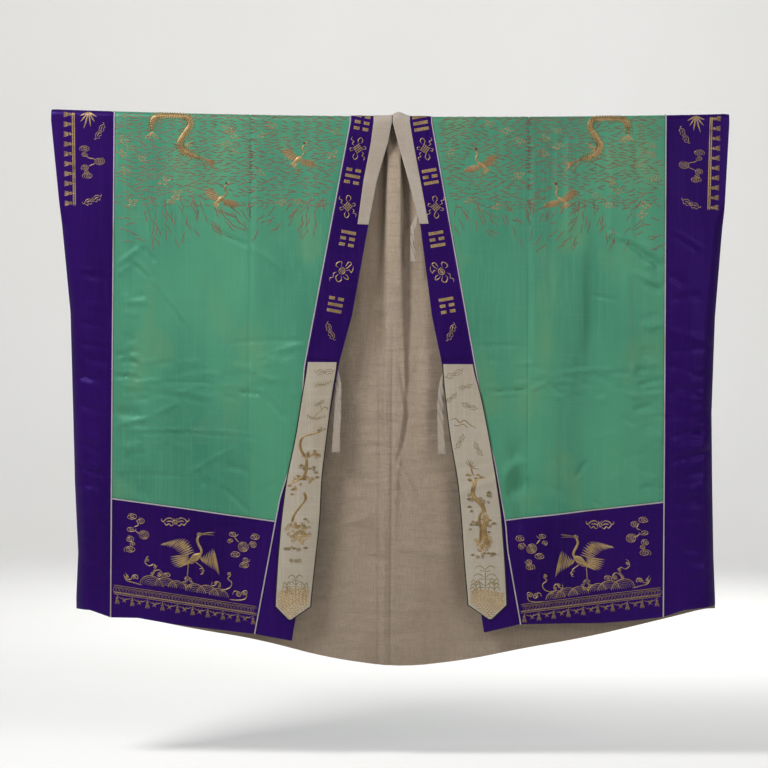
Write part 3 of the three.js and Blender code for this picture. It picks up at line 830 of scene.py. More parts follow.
def back_hem(x):
    return eased(BACK_HEM, "z", x, (-60, -30, 0, 30, 60))


def back_waist(x):
    return back_hem(x) + HEM_BAND_DEEP


PINCH_EASE = 12.0
PINCH_SLACK, PINCH_SLACK_SHARE = 3.0, 0.15
BACK_CREASE_START, BACK_CREASE_EASE = 40.0, 80.0  # down from the ridge


def pinch_depth(x, z, slack):
    """The ridge down the middle. The satin has some slack, and lies inside the lining's ridge."""
    start, end, deep = (np.interp(z, PINCH["z"], PINCH[name]) for name in ("start", "end", "depth"))
    before = 1 - smooth((start + PINCH_SLACK * slack - x) / PINCH_EASE)
    after = 1 - smooth((x - end + PINCH_SLACK * slack) / PINCH_EASE)
    return deep * (1 - PINCH_SLACK_SHARE * slack) * np.minimum(before, after)


def back_depth(x, z, slack=0):
    """How far the inside of the back stands behind the rod's axis. Slack satin lies deeper in creases."""
    drop = np.maximum(rod_height(x) - z, 0)
    base = FOLD_RADIUS + BACK_SPREAD * smooth(drop / SPREAD_DROP)
    folds = fold_depth(BACK_FOLDS, x, z) - pinch_depth(x, z, slack)
    small = fold_depth(LINING_FOLDS, x, z) + crease_depth(BACK_CREASES, x, z) + slow_waves(x, z, 0.9)
    for creases in BACK_FINE_CREASES:
        small = small + crease_depth(creases, x, z)
    small = small * smooth((drop - BACK_CREASE_START) / BACK_CREASE_EASE)
    small = small + SLACK_SHARE * slack * np.abs(small)
    closing = np.where(x < 0, armhole_closing("left", x, z), armhole_closing("right", x, z))
    return LAYER_GAP / 2 + (base + folds + small - LAYER_GAP / 2) * closing


def back_satin_depth(x, z):
    return back_depth(x, z, slack=1)


for side in SIGN:
    centre_line = straight(CENTRE_SEAM)
    loom_line = straight(SIGN[side] * LOOM_HALF)
    seam_line = straight(SIGN[side] * SIDE_SEAM)
    side_line = partial(side_edge, side)
    for name, node, left, right, top, bottom, size in (
        ("back_satin_inner", "back_silk_inner", centre_line, loom_line, rod_height, back_waist, (342, 1050)),
        ("back_satin_outer", "back_silk_outer", loom_line, seam_line, rod_height, back_waist, (341, 1000)),
        ("back_wide_band", "back_side_band", seam_line, side_line, rod_height, back_hem, (125, 1235)),
        ("back_hem_cloth", "back_hem_panel", centre_line, seam_line, back_waist, back_hem, (683, 297)),
    ):
        green = "satin" in name
        across = graded(size[0], (60, 2.8), (size[0], 9.0)) if left is centre_line else None
        piece = wall_cloth(
            f"{name}_{side}", back_satin_depth, BACK, (left, right, top, bottom), size,
            [green_satin if green else purple_satin], BACK_START, BACK_THICK,
            over=top is rod_height, cell=10.0, across=across,
        )
        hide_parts(f"{node}_{side}")
    lining = wall_cloth(
        f"back_lining_{side}", back_depth, BACK, (centre_line, side_line, rod_height, back_hem),
        (800, 1310), [lining_linen], 0, LINING_THICK, over=True, cell=7.5,
        across=graded(800, (60, 2.5), (240, 6.0), (800, 20.0)),
    )
    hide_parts(f"lining_{side}")


# The collar. A band of purple satin lies on each front band, passes over the rod round the neck and
# ends a hand below it on the back. Where it is pinched at the nape it stands up in a small peak.
COLLAR_START = WALL + LAYER_GAP
COLLAR_THICK = 1.4
COLLAR_LENGTH_SHARE = 0.586  # of the way from the rod to the top of the hem panel
COLLAR_BACK_DROP = 40.0
NAPE_DROP, NAPE_HALF_WIDTH = 38.0, 60.0
PEAK_AT, PEAK_HALF_WIDTH, PEAK_HIGH = 21.0, 15.0, 9.0


def down_front(side, share):
    """A level line across a front, a share of the way from the rod to the top of the hem panel."""
    return lambda x: rod_height(x) * (1 - share) + waist(side, x) * share


def collar_back_edge(x):
    point = np.exp(-(((x - CENTRE_SEAM) / NAPE_HALF_WIDTH) ** 2))
    return rod_height(x) - COLLAR_BACK_DROP - NAPE_DROP * point


def peak_lift(places):
    x = places[0][..., 0]
    upright = np.maximum(places[1][..., 2], 0) ** 2
    return PEAK_HIGH * np.exp(-(((x - PEAK_AT) / PEAK_HALF_WIDTH) ** 2)) * upright


def over_shoulder(side, front_edges, back_edges, front_end, back_end, across, length, cell=6.0):
    """Places of a strip that lies on a front, passes over the rod and may end on the back."""
    down = spaced(length, cell)
    x, z = net_between(*front_edges, rod_height, front_end, across, down)
    parts = [on_wall(FRONT, front_depth(side, x, z), x, z)[:, ::-1]]
    parts.append(arc_places(FRONT, *front_edges, across)[:, ::-1])
    if back_edges:
        parts.append(arc_places(BACK, *back_edges, across)[:, 1:])
        x, z = net_between(*back_edges, rod_height, back_end, across, spaced(60, cell))
        parts.append(on_wall(BACK, back_depth(x, z), x, z))
    return np.concatenate(parts, axis=1)


def add_layer(name, places, start, thick, finish, deep=0.5, reach=1.8):
    """A layer of cloth over others, with its edges turned under."""
    flat = out_from(places, start + peak_lift(places))
    across = np.linalg.norm(np.diff(flat, axis=1), axis=-1).mean(axis=0)
    along = np.linalg.norm(np.diff(flat, axis=0), axis=-1).mean(axis=1)
    across = np.concatenate([[0], np.cumsum(across)])
    along = np.concatenate([[0], np.cumsum(along)])
    dips = dip_at_ends(across / across[-1], across[-1], deep * thick, reach)[None, :]
    dips = dips + dip_at_ends(along / along[-1], along[-1], deep * thick, reach)[:, None]
    outer = out_from(places, start + thick + peak_lift(places) - dips)
    return add_cloth(name, outer, flat, [finish])


for side in SIGN:
    front_edges = partial(inner_edge, side), partial(band_seam, side)
    back_edges = straight(CENTRE_SEAM), straight(SIGN[side] * BAND_SEAM[side][0])
    collar_end = down_front(side, COLLAR_LENGTH_SHARE)
    collar_places = over_shoulder(
        side, front_edges, back_edges, collar_end, collar_back_edge, spaced(92, 4.0), 600
    )
    collar = add_layer(f"collar_band_{side}", collar_places, COLLAR_START, COLLAR_THICK, purple_satin)
    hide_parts(f"collar_{side}")


# The neck guards. Washable white cotton is basted over the collar's inner edge on each side of the
# neck. It is worn soft and a little grubby, and narrows towards its lower end.
GUARD_START = COLLAR_START + COLLAR_THICK + LAYER_GAP
GUARD_THICK = 1.2
GUARD_LENGTH_SHARE = 0.25  # of the way from the rod to the top of the hem panel
GUARD_SHARE_TOP, GUARD_SHARE_END = 0.45, 0.3  # of the collar's width
# The cotton's darker colour lower down is painted shade, as on the lining.
white_cotton = plain_weave(
    "white cotton", colour(160, 149, 138), colour(143, 131, 119), colour(172, 162, 152),
    colour(132, 119, 104), painted_low_shade=colour(120, 104, 88), coarse=0.6, height=0.0003, rumple=0.003,
)


def guard_line(side, end, z):
    """The outer edge of a guard, which covers less of the collar towards its end."""
    down = np.clip(z / end, 0, 1)
    share = GUARD_SHARE_TOP * (1 - down) + GUARD_SHARE_END * down
    return inner_edge(side, z) * (1 - share) + band_seam(side, z) * share


for side in SIGN:
    guard_end = down_front(side, GUARD_LENGTH_SHARE)
    guard_edges = partial(inner_edge, side), partial(guard_line, side, guard_end(0.0))
    guard_places = over_shoulder(
        side, guard_edges, None, guard_end, None, spaced(38, 3.0), 255, cell=3.0
    )
    guard = add_layer(f"neck_guard_{side}", guard_places, GUARD_START, GUARD_THICK, white_cotton)
    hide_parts(f"guard_{side}")


# The pipings. A thin white cord, two threads twisted and couched down, covers each seam: along the
# side bands, beside the collar and the front bands, and over the tops of the hem panels.
PIPING_START = WALL + LAYER_GAP
PIPING_WIDTH = 3.4
PIPING_HIGH = 1.5
PIPING_FOOT = 0.25
PIPED_LENGTH = 1250
piping_cord, piping_shader = new_finish("piping cord", 0.75, Specular_IOR_Level=0.25)
cord_place = add_node(piping_cord, "ShaderNodeTexCoord").outputs["Object"]
cord_twist = add_node(
    piping_cord,
    "ShaderNodeTexWave",
    {"Vector": cord_place, "Scale": 210.0, "Distortion": 1.5, "Detail": 1.0, "Detail Scale": 3.0},
    bands_direction="DIAGONAL",
)
cord_tone = fade_between(
    piping_cord, cord_twist.outputs["Fac"], 0.1, 0.9, colour(140, 130, 142), colour(190, 181, 192)
)
cord_soil = streaks(piping_cord, (12, 12, 12), 1.0, 3.0)
link(
    piping_cord,
    fade_between(piping_cord, cord_soil, 0.5, 0.75, cord_tone, colour(148, 134, 122)),
    piping_shader,
    "Base Color",
)
raise_by(piping_cord, piping_shader, cord_twist.outputs["Fac"], 0.0006, 0.8)


def add_piping(name, one, other):
    """A half-round cord between two rows of places, one on each side of its seam."""
    turn = np.linspace(0, np.pi, 7)
    share = (1 - np.cos(turn)) / 2
    high = PIPING_FOOT + (PIPING_HIGH - PIPING_FOOT) * np.sin(turn)
    base = one[:, :, None, :] * (1 - share[:, None]) + other[:, :, None, :] * share[:, None]
    base[1] /= np.linalg.norm(base[1], axis=-1, keepdims=True)
    outer = out_from(base, PIPING_START + high[None, :] + 0 * base[0][..., 0])
    inner = out_from(base, PIPING_START + 0 * base[0][..., 0])
    return add_cloth(name, outer, inner, [piping_cord])


def shifted(line, by):
    return lambda at: line(at) + by


def piping_down(side, line, back_line, front_end, back_end, step=7.0):
    """Left and right rows of places for a cord that goes up a front, over the rod and down the back."""
    rows = []
    share = np.array([0.0])
    down = np.linspace(0, 1, int(PIPED_LENGTH / step))
    back_down = np.linspace(0, 1, 9 if back_end is collar_back_edge else int(PIPED_LENGTH / 8))
    for by in (-PIPING_WIDTH / 2, PIPING_WIDTH / 2):
        edge, back_edge = shifted(line, by), shifted(back_line, by)
        x, z = net_between(edge, edge, rod_height, front_end, share, down)
        front = on_wall(FRONT, front_depth(side, x, z), x, z)[:, ::-1]
        arc = arc_places(FRONT, edge, edge, share)[:, ::-1]
        back_arc = arc_places(BACK, back_edge, back_edge, share)[:, 1:]
        x, z = net_between(back_edge, back_edge, rod_height, back_end, share, back_down)
        back = on_wall(BACK, back_satin_depth(x, z), x, z)
        rows.append(np.concatenate([front, arc, back_arc, back], axis=1)[:, :, 0])
    return rows


def piping_across(face, depth_of, line, x):
    """Rows of places above and below a line that crosses a wall."""
    rows = [line(x) + by for by in (PIPING_WIDTH / 2, -PIPING_WIDTH / 2)]
    return [on_wall(face, depth_of(x, z), x, z) for z in rows]


for side in SIGN:
    sign = SIGN[side]
    beside = sign * (PIPING_WIDTH / 2 + LAYER_GAP)
    hem_line = partial(front_hem, side)
    waist_line = partial(waist, side)
    seam_line = straight(sign * SIDE_SEAM)
    cord_line = shifted(partial(band_seam, side), beside)
    nape_line = straight(sign * BAND_SEAM[side][0] + beside)
    end = SIDE_SEAM - PIPING_WIDTH / 2 - LAYER_GAP
    start = end
    for turn in range(8):
        start = abs(band_seam(side, waist_line(sign * start))) + PIPING_WIDTH + 3 * LAYER_GAP
    front_x = sign * np.linspace(start, end, 110)
    back_x = np.linspace(CENTRE_SEAM + sign * LAYER_GAP / 2, sign * end, 110)
    for name, rows in (
        ("side", piping_down(side, seam_line, seam_line, hem_line, back_hem)),
        ("band", piping_down(side, cord_line, nape_line, hem_line, collar_back_edge)),
        ("hem", piping_across(FRONT, partial(front_depth, side), waist_line, front_x)),
        ("hem_back", piping_across(BACK, back_satin_depth, back_waist, back_x)),
    ):
        cord = add_piping(f"cord_{name}_{side}", *rows)
        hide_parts(f"piping_{name}_{side}")


# The streamers. A long pointed strip of cream satin hangs from each end of the collar, backed and
# narrowly bound with a dark silk, and embroidered all the way down.
STREAMER_START = WALL + LAYER_GAP
BACKING_THICK = 1.0
STREAMER_THICK = 1.2
BINDING = 2.6
STREAMER_LIFT = 2.4
STREAMER_WIDE, STREAMER_LONG = 85, 640
STREAMER_EASE = 40.0  # the length over which it rises off the band
BUCKLE_TOP, BUCKLE_EASE = -620.0, 60.0
STREAMERS = {
    "left": table(
        "z outer inner",
        (-600, 199, 128),
        (-685, 213, 142),
        (-785, 228, 154),
        (-890, 250, 166),
        (-995, 263, 170),
        (-1098, 271, 181),
        (-1208, 277, 192),
    ),
    "right": table(
        "z outer inner",
        (-603, 206, 135),
        (-682, 229, 142),
        (-785, 250, 155),
        (-890, 268, 175),
        (-975, 281, 184),
        (-1098, 291, 193),
        (-1201, 297, 203),
    ),
}
STREAMER_TIPS = {"left": (-1243, 242), "right": (-1239, 257)}
# Soft buckles across the streamers, written like the creases of the fronts
STREAMER_BUCKLES = {
    "left": table(
        "x0 z0 x1 z1 half_width depth",
        (-262, -1094, -197, -1157, 5, 2.6),
        (-266, -1004, -168, -996, 12, 1.8),
        (-262, -1030, -196, -1046, 7, -1.2),
        (-228, -838, -150, -812, 12, 1.5),
        (-246, -925, -176, -966, 8, -1.4),
        (-215, -706, -138, -690, 11, 1.0),
        (-216, -760, -160, -744, 7, -1.0),
    ),
    "right": table(
        "x0 z0 x1 z1 half_width depth",
        (176, -926, 282, -884, 9, 2.6),
        (184, -948, 280, -968, 10, -2.0),
        (188, -1010, 290, -992, 10, 1.8),
        (200, -1092, 292, -1066, 6, 1.8),
        (156, -752, 238, -778, 11, 1.3),
        (168, -862, 262, -846, 7, -1.6),
        (142, -664, 222, -658, 10, 1.0),
    ),
}
cream_satin = satin(
    "cream satin", colour(166, 157, 142), colour(148, 138, 122), colour(182, 174, 161), colour(146, 132, 112)
)
dark_silk = satin(
    "dark silk", colour(30, 24, 22), colour(20, 16, 16), colour(46, 38, 33), colour(36, 28, 25), gloss=0.55
)


def on_streamer(side, x, z):
    """Places under a streamer, which rises off the band to lie over the piping and buckles a little."""
    lift = STREAMER_LIFT * smooth((STREAMERS[side]["z"][-1] - z) / STREAMER_EASE)
    buckles = crease_depth(STREAMER_BUCKLES[side], x, z) * smooth((BUCKLE_TOP - z) / BUCKLE_EASE)
    lift = lift + buckles
    return on_wall(FRONT, front_depth(side, x, z) + lift, x, z)


def streamer_places(side, edge, cell=4.5):
    """Rows of places down a streamer to its point. An edge makes it wider all round."""
    rows = STREAMERS[side]
    tip_z, tip_x = STREAMER_TIPS[side]
    top_z, corner_z = rows["z"][-1], rows["z"][0]
    across = spaced(STREAMER_WIDE, cell)
    level = np.linspace(top_z, corner_z - edge / 2, int(STREAMER_LONG / cell))
    point = np.linspace(corner_z - edge / 2, tip_z - edge, 14)[1:-1]
    level = np.concatenate([level, point])
    to_tip = np.clip((level - corner_z + edge / 2) / (tip_z - corner_z - edge / 2), 0, 1)
    steps = (-30, -15, 0, 15, 30)
    outer = (eased(rows, "outer", level, steps) + edge) * (1 - to_tip) + tip_x * to_tip
    inner = (eased(rows, "inner", level, steps) - edge) * (1 - to_tip) + tip_x * to_tip
    x = SIGN[side] * (outer[:, None] * (1 - across) + inner[:, None] * across)
    z = np.broadcast_to(level[:, None], x.shape)
    return on_streamer(side, x, z)


for side in SIGN:
    backing_places = streamer_places(side, BINDING, 9.0)
    backing = add_layer(
        f"binding_{side}", backing_places, STREAMER_START, BACKING_THICK, dark_silk, 0.3
    )
    satin_start = STREAMER_START + BACKING_THICK + LAYER_GAP
    streamer = add_layer(
        f"streamer_satin_{side}", streamer_places(side, 0), satin_start, STREAMER_THICK, cream_satin
    )
    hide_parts(f"streamer_backing_{side}")
    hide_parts(f"streamer_{side}")


# The ties. Three narrow strips of the white cotton are sewn behind the inner edges of the fronts,
# two at the streamers' tops and one below the right guard, and hang loose, a little curled.
TIE_THICK = 1.2
TIE_CURL = 1.6
TIE_EASE = 40.0  # the length over which a tie begins to curl
TIES = {
    "tie_left": table(
        "z x width",
        (-596, -137, 14),
        (-612, -134, 14),
        (-655, -124, 14),
        (-727, -126, 17),
        (-780, -129, 18),
        (-824, -130, 20),
    ),
    "tie_right": table(
        "z x width",
        (-602, 146, 14),
        (-618, 143, 14),
        (-655, 131, 12),
        (-712, 129, 16),
        (-765, 130, 15),
        (-826, 134, 19),
    ),
    "tie_neck": table(
        "z x width",
        (-204, 79, 11),
        (-216, 76, 11),
        (-262, 58, 11),
        (-300, 57, 9),
        (-347, 60, 15),
    ),
}

for name, rows in TIES.items():
    side = "left" if name == "tie_left" else "right"
    z = np.linspace(rows["z"][-1], rows["z"][0], 90)
    middle = np.interp(z, rows["z"], rows["x"])
    width = np.interp(z, rows["z"], rows["width"])
    across = np.linspace(-0.5, 0.5, 7)
    x = middle[:, None] + width[:, None] * across
    z = np.broadcast_to(z[:, None], x.shape)
    free = smooth((rows["z"][-2] - z) / TIE_EASE)
    twist = 2 * across * np.sin((z - rows["z"][-1]) / 23)
    curl = free * TIE_CURL * (1 + twist + 0.7 * np.sin(z / 5.1 + 9 * across))
    depth = front_depth(side, x, z) - LAYER_GAP - TIE_THICK - curl
    places = on_wall(FRONT, depth, x, z)
    tie = add_layer(f"{name}_strip", places, 0, TIE_THICK, white_cotton, 0.4, 1.2)
    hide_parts(name)


# The embroidery of the shoulders. Brown and gold threads are couched over the green satin as a sky
# of small wisps, with clouds, flying cranes and a dragon over each shoulder. Wisps run on behind.
FINE_PROFILE = np.array([(-1.0, 0.0), (0.0, 1.0), (1.0, 0.0)])
BROAD_PROFILE = np.array([(-1.0, 0.0), (-0.62, 0.8), (0.0, 1.0), (0.62, 0.8), (1.0, 0.0)])
BROAD_STITCH = 4.5
STITCH_SUNK = 0.15


def thread(name, tone, shade, shine):
    """Gilt paper thread: a warm metal gloss broken by its own twist, and worn in places."""
    material, shader = new_finish(name, 0.42, Metallic=shine, Specular_IOR_Level=0.4)
    twist = streaks(material, (700, 700, 700), 1.0, 2.0)
    wear = streaks(material, (40, 40, 40), 1.0, 3.0)
    base = fade_between(material, twist, 0.3, 0.72, shade, tone)
    base = fade_between(material, wear, 0.5, 0.8, base, shade)
    link(material, base, shader, "Base Color")
    raise_by(material, shader, twist, 0.0005, 0.8)
    return material


gold_thread = thread("gold thread", colour(184, 156, 106), colour(112, 88, 54), 0.45)
brown_thread = thread("brown thread", colour(148, 122, 80), colour(106, 82, 52), 0.25)
wisp_thread = thread("wisp thread", colour(126, 98, 76), colour(86, 66, 52), 0.15)
cloud_thread = thread("cloud thread", colour(184, 146, 102), colour(122, 88, 58), 0.35)
olive_thread = thread("olive thread", colour(146, 128, 92), colour(104, 90, 62), 0.2)
red_thread = thread("red thread", colour(120, 34, 26), colour(80, 20, 18), 0.0)


def curved(points, step=2.5):
    """A smooth line through some points, as places about a step apart."""
    points = np.array(points, float)
    ends = np.vstack([2 * points[0] - points[1], points, 2 * points[-1] - points[-2]])
    parts = []
    for a, b, c, d in zip(ends, ends[1:], ends[2:], ends[3:]):
        t = np.linspace(0, 1, max(int(np.hypot(*(c - b)) / step), 2), endpoint=False)[:, None]
        bend = (c - a) * t + (2 * a - 5 * b + 4 * c - d) * t**2 + (3 * b - a - 3 * c + d) * t**3
        parts.append(b + 0.5 * bend)
    return np.vstack([*parts, points[-1]])


def stitch(points, width=2.2, high=0.8, taper=0.25, step=2.5):
    return curved(points, step), width, high, taper


def coil(x, z, half_wide, half_high, pitch=3.4, width=2.1):
    """A thread coiled from the middle outwards until it fills an oval."""
    laps = max(min(half_wide, half_high) / pitch, 1.2)
    angle = np.linspace(0, laps * 2 * np.pi, int(laps * 15))
    share = angle / angle[-1]
    path = np.stack([x + half_wide * share * np.cos(angle), z + half_high * share * np.sin(angle)], axis=-1)
    return path, width, 0.8, 0.05


def steps_along(path):
    """Each place inside a path, with its ways ahead and aside."""
    for place, ahead in zip(path[1:-1], np.gradient(path, axis=0)[1:-1]):
        ahead = ahead / np.hypot(*ahead)
        yield place, ahead, np.array([-ahead[1], ahead[0]])


def feathers(arm, tips, count, width=3.4):
    """Long stitches side by side, from along a wing's arm out to a line of tips."""
    share = np.linspace(0, 1, count)
    starts, ends = curved(arm, 1.0), curved(tips, 1.0)
    starts = starts[(share * (len(starts) - 1)).astype(int)]
    ends = ends[(share * (len(ends) - 1)).astype(int)]
    return [stitch([a, a * 0.5 + b * 0.5, b], width, 0.9, 0.35, 4.0) for a, b in zip(starts, ends)]


def both_ways(stitches):
    return stitches + [(path * [-1, 1], *rest) for path, *rest in stitches]


def placed(motif, x, z, turn=0.0, size=1.0, mirror=1):
    """A motif set down at a place, turned by degrees, and mirrored for the other side."""
    c, s = math.cos(math.radians(turn)), math.sin(math.radians(turn))
    spin = np.array([[c, s], [-s, c]]) * size
    return [
        (((path * [mirror, 1]) @ spin) + [x, z], width * size, high, taper)
        for path, width, high, taper in motif
    ]


def lay_on(face, depth_of, x, z):
    """Places on a wall for points of its outline. Above the rod's axis they lie over the rod."""
    high = np.clip((z - rod_height(x)) / (FOLD_RADIUS + WALL), 0, 1)
    arc = over_rod(face, x, np.arccos(high))
    wall = on_wall(face, depth_of(x, z), x, z)
    return np.where((z > rod_height(x))[..., None], arc, wall)


on_front = {side: partial(lay_on, FRONT, partial(front_depth, side)) for side in SIGN}
on_back = partial(lay_on, BACK, back_satin_depth)


def add_embroidery(name, stitches, lay, start, finish):
    """Raised stitches on a surface, all in one mesh."""
    flat, high, faces = [], [], []
    count = 0
    for path, width, rise, taper in stitches:
        ahead = np.gradient(path, axis=0)
        ahead /= np.maximum(np.linalg.norm(ahead, axis=1, keepdims=True), 1e-6)
        aside = np.stack([-ahead[:, 1], ahead[:, 0]], axis=-1)
        share = np.linspace(0, 1, len(path))
        full = np.clip(np.minimum(share, 1 - share) / taper, 0.02, 1)[:, None] ** 0.6
        profile = FINE_PROFILE if width < BROAD_STITCH else BROAD_PROFILE
        points = path[:, None, :] + aside[:, None, :] * (profile[:, 0] * full * width / 2)[..., None]
        flat.append(points.reshape(-1, 2))
        high.append((profile[:, 1] * full * rise).ravel())
        here = count + np.arange(len(high[-1])).reshape(len(path), -1)
        ring = np.concatenate([here, here[:, :1]], axis=1)
        corners = [ring[:-1, :-1], ring[1:, :-1], ring[1:, 1:], ring[:-1, 1:]]
        faces.append(np.stack(corners, axis=-1).reshape(-1, 4))
        count += here.size
    flat, high = np.concatenate(flat), np.concatenate(high)
    points = out_from(lay(flat[..., 0], flat[..., 1]), start - STITCH_SUNK + high)
    piece = add_piece(name, points, np.concatenate(faces), [finish])
    return piece


CLOUD = [
    coil(-7, 1, 6, 4.2),
    coil(5, 4, 6.5, 4.4),
    coil(1, -4.5, 6, 3.8),
    stitch([(7, 0), (13, -3), (19, -1)]),
]
CRANE_WINGS = [
    *feathers([(-2, 2), (-8, 12), (-18, 20)], [(-22, -6), (-34, 2), (-42, 16)], 8, 4.2),
    *feathers([(3, 0), (14, 0), (25, -4)], [(6, -18), (24, -22), (38, -20)], 8, 4.2),
]
CRANE_BODY = [
    stitch([(-14, -10), (-4, -3), (6, 5)], 12, 1.9, 0.4),
    *feathers([(-10, -8), (-6, -12)], [(-24, -13), (-14, -24)], 5, 3.6),
    stitch([(5, 4), (10, 13), (6, 22), (10, 31)], 4.2, 1.5, 0.1),
    stitch([(9, 30), (13, 35), (21, 36)], 3.2, 1.3, 0.3),
    stitch([(-4, -10), (-6, -24), (-8, -40)], 1.8),
    stitch([(0, -10), (0, -24), (1, -36)], 1.8),
]
CRANE_CROWN = [coil(10, 34.5, 2.6, 2.2, 1.4, 1.6)]
DRAGON_SCALE = ((-5, 3), (-3, 0), (0, -2), (3, 0), (5, 3))  # steps across the body and back along it
DRAGON = [(-593, -30), (-594, -10), (-585, 9), (-548, 14), (-508, 10), (-498, -9), (-513, -34), (-525, -54),
          (-520, -72), (-498, -85), (-470, -93)]
CLAW = [stitch([(0, 0), (way, -6), (way * 1.9, -13)], 2.4) for way in (-7, -3, 2, 6)]
DRAGON_TAIL = [
    stitch([(-10, 6), (10, -4), (34, at)], 5.0, 1.2, 0.3) for at in (-30, -24, -18, -12, -6)
] + [stitch([(-6, 2), (4, -12), (14, at)], 3.4, 1.0, 0.3) for at in (-30, -24)]
CLOUD_SPOTS = {
    "left": [(-663, -50), (-653, -66), (-664, -84), (-621, -93), (-659, -126), (-566, -153), (-638, -204),
             (-543, -200), (-528, -180), (-408, -19), (-388, -38), (-411, -56), (-384, -78), (-322, -35),
             (-292, -10), (-272, -203), (-318, -130), (-140, -25), (-141, -80), (-232, -198)],
    "right": [(250, -2), (285, -20), (325, -44), (415, -18), (390, -38), (415, -58), (388, -76), (150, -75),
              (325, -130), (265, -210), (225, -218), (195, -196), (557, -148), (566, -168), (520, -183),
              (543, -203), (657, -55), (650, -75), (620, -102), (655, -137), (640, -205), (623, -228),
              (585, -40)],
}
FLYING_CRANES = {"left": [(-418, -193, 1), (-225, -92, 1)], "right": [(425, -190, -1), (225, -104, -1)]}


WISP_ROWS = [15.4, 10.5, *np.arange(7, -216, -6.6)]
WISP_PITCH = 26
SLANTING_WISPS = 150
SKY_SEEDS = {"left": 21, "right": 22}


def wisp(length, swing):
    half = length / 2
    return stitch([(-half, 0), (-half * 0.45, swing), (half * 0.45, -swing), (half, 0)], 3.1, 0.7, 0.35, 9.0)


def clear_of(x, z, spots, reach):
    return all((x - a) ** 2 + ((z - b) * 1.3) ** 2 > reach**2 for a, b in spots)


def sky_of_wisps(side, chance, spots, cranes):
    """Rows of level wisps from the ridge down, then longer slanting ones that thin out below."""
    sign = SIGN[side]
    stitches = []
    for z in WISP_ROWS:
        ends = abs(band_seam(side, z)) + 16, SIDE_SEAM - 12
        for at in np.arange(ends[0] + chance.uniform(0, 22), ends[1], WISP_PITCH):
            x = sign * (at + chance.uniform(-4, 4))
            level = z + chance.uniform(-1.6, 1.6)
            turn = chance.uniform(-7, 7)
            length = chance.uniform(19, 30)
            swing = chance.choice([-1, 1]) * chance.uniform(1.2, 2.4)
            kept = chance.random() < (0.95 if z > -150 else 0.75)
            if kept and clear_of(x, level, spots, 14) and clear_of(x, level, cranes, 34):
                stitches += placed([wisp(length, swing)], x, level, turn)
    for turns in range(SLANTING_WISPS):
        at = chance.uniform(abs(band_seam(side, -240)) + 18, SIDE_SEAM - 20)
        level = chance.uniform(-312, -196)
        beside = abs(at - LOOM_HALF)
        slant = 45 if 12 < beside < 120 else 78 if at < 620 else 8
        turn = sign * (-slant if at < LOOM_HALF else slant) + chance.uniform(-12, 12)
        length = chance.uniform(28, 44)
        kept = chance.random() < 1.1 + (196 + level) / 110 * 0.85
        if kept and clear_of(sign * at, level, spots + cranes, 20):
            stitches += placed([wisp(length, chance.choice([-1, 1]) * 3.2)], sign * at, level, turn)
    return stitches


for side in SIGN:
    sign = SIGN[side]
    chance = np.random.default_rng(SKY_SEEDS[side])
    cranes = [(x, z) for x, z, mirror in FLYING_CRANES[side]]
    body = [(-sign * x, z) for x, z in DRAGON]
    path = curved(body, 6.0)
    spots = CLOUD_SPOTS[side] + [tuple(place) for place in path[::2]]
    wisps = sky_of_wisps(side, chance, spots, cranes)
    gold = [stitch(body, 13, 1.3, 0.1, 3.0)]
    brown = []
    for place, ahead, aside in steps_along(curved(body, 5.2)):
        scale = [place + aside * across - ahead * back for across, back in DRAGON_SCALE]
        brown.append(stitch(scale, 2.0, 2.4, 0.2))
        for way, reach in ((-sign, 14), (sign, 10)):
            out = way * aside
            fin = [place + out * 5, place + out * 8 - ahead, place + out * reach - ahead * 5]
            gold.append(stitch(fin, 3.0, 1.8, 0.4))
    end, bend = body[0], body[7]
    gold += placed(CLAW, end[0], end[1] + 2, 0, 1.5)
    gold += placed(CLAW, bend[0] - sign * 12, bend[1] - 8, -sign * 70, 1.7)
    brown += placed(DRAGON_TAIL, *body[-1], 0, 1.0, -sign)
    crowns, clouds = [], []
    for i, (x, z) in enumerate(CLOUD_SPOTS[side]):
        turn, size = chance.uniform(-35, 35), chance.uniform(0.95, 1.25)
        clouds += placed(CLOUD, x, z, turn, size, 1 if i % 2 else -1)
    for x, z, mirror in FLYING_CRANES[side]:
        brown += placed(CRANE_WINGS, x, z, 0, 1.15, mirror)
        gold += placed(CRANE_BODY, x, z, 0, 1.1, mirror)
        crowns += placed(CRANE_CROWN, x, z, 0, 1.1, mirror)
    back_wisps = sky_of_wisps(side, chance, [], [])
    for name, stitches, lay, start, finish in (
        ("shoulder_wisps", wisps, on_front[side], WALL, wisp_thread),
        ("shoulder_brown", brown, on_front[side], WALL, brown_thread),
        ("shoulder_clouds", clouds, on_front[side], WALL, cloud_thread),
        ("shoulder_gold", gold, on_front[side], WALL, gold_thread),
        ("crane_crowns", crowns, on_front[side], WALL + 1, red_thread),
        ("back_wisps", back_wisps, on_back, BACK_OUTSIDE, wisp_thread),
        ("back_clouds", clouds, on_back, BACK_OUTSIDE, cloud_thread),
    ):
        add_embroidery(f"{name}_{side}", stitches, lay, start, finish)


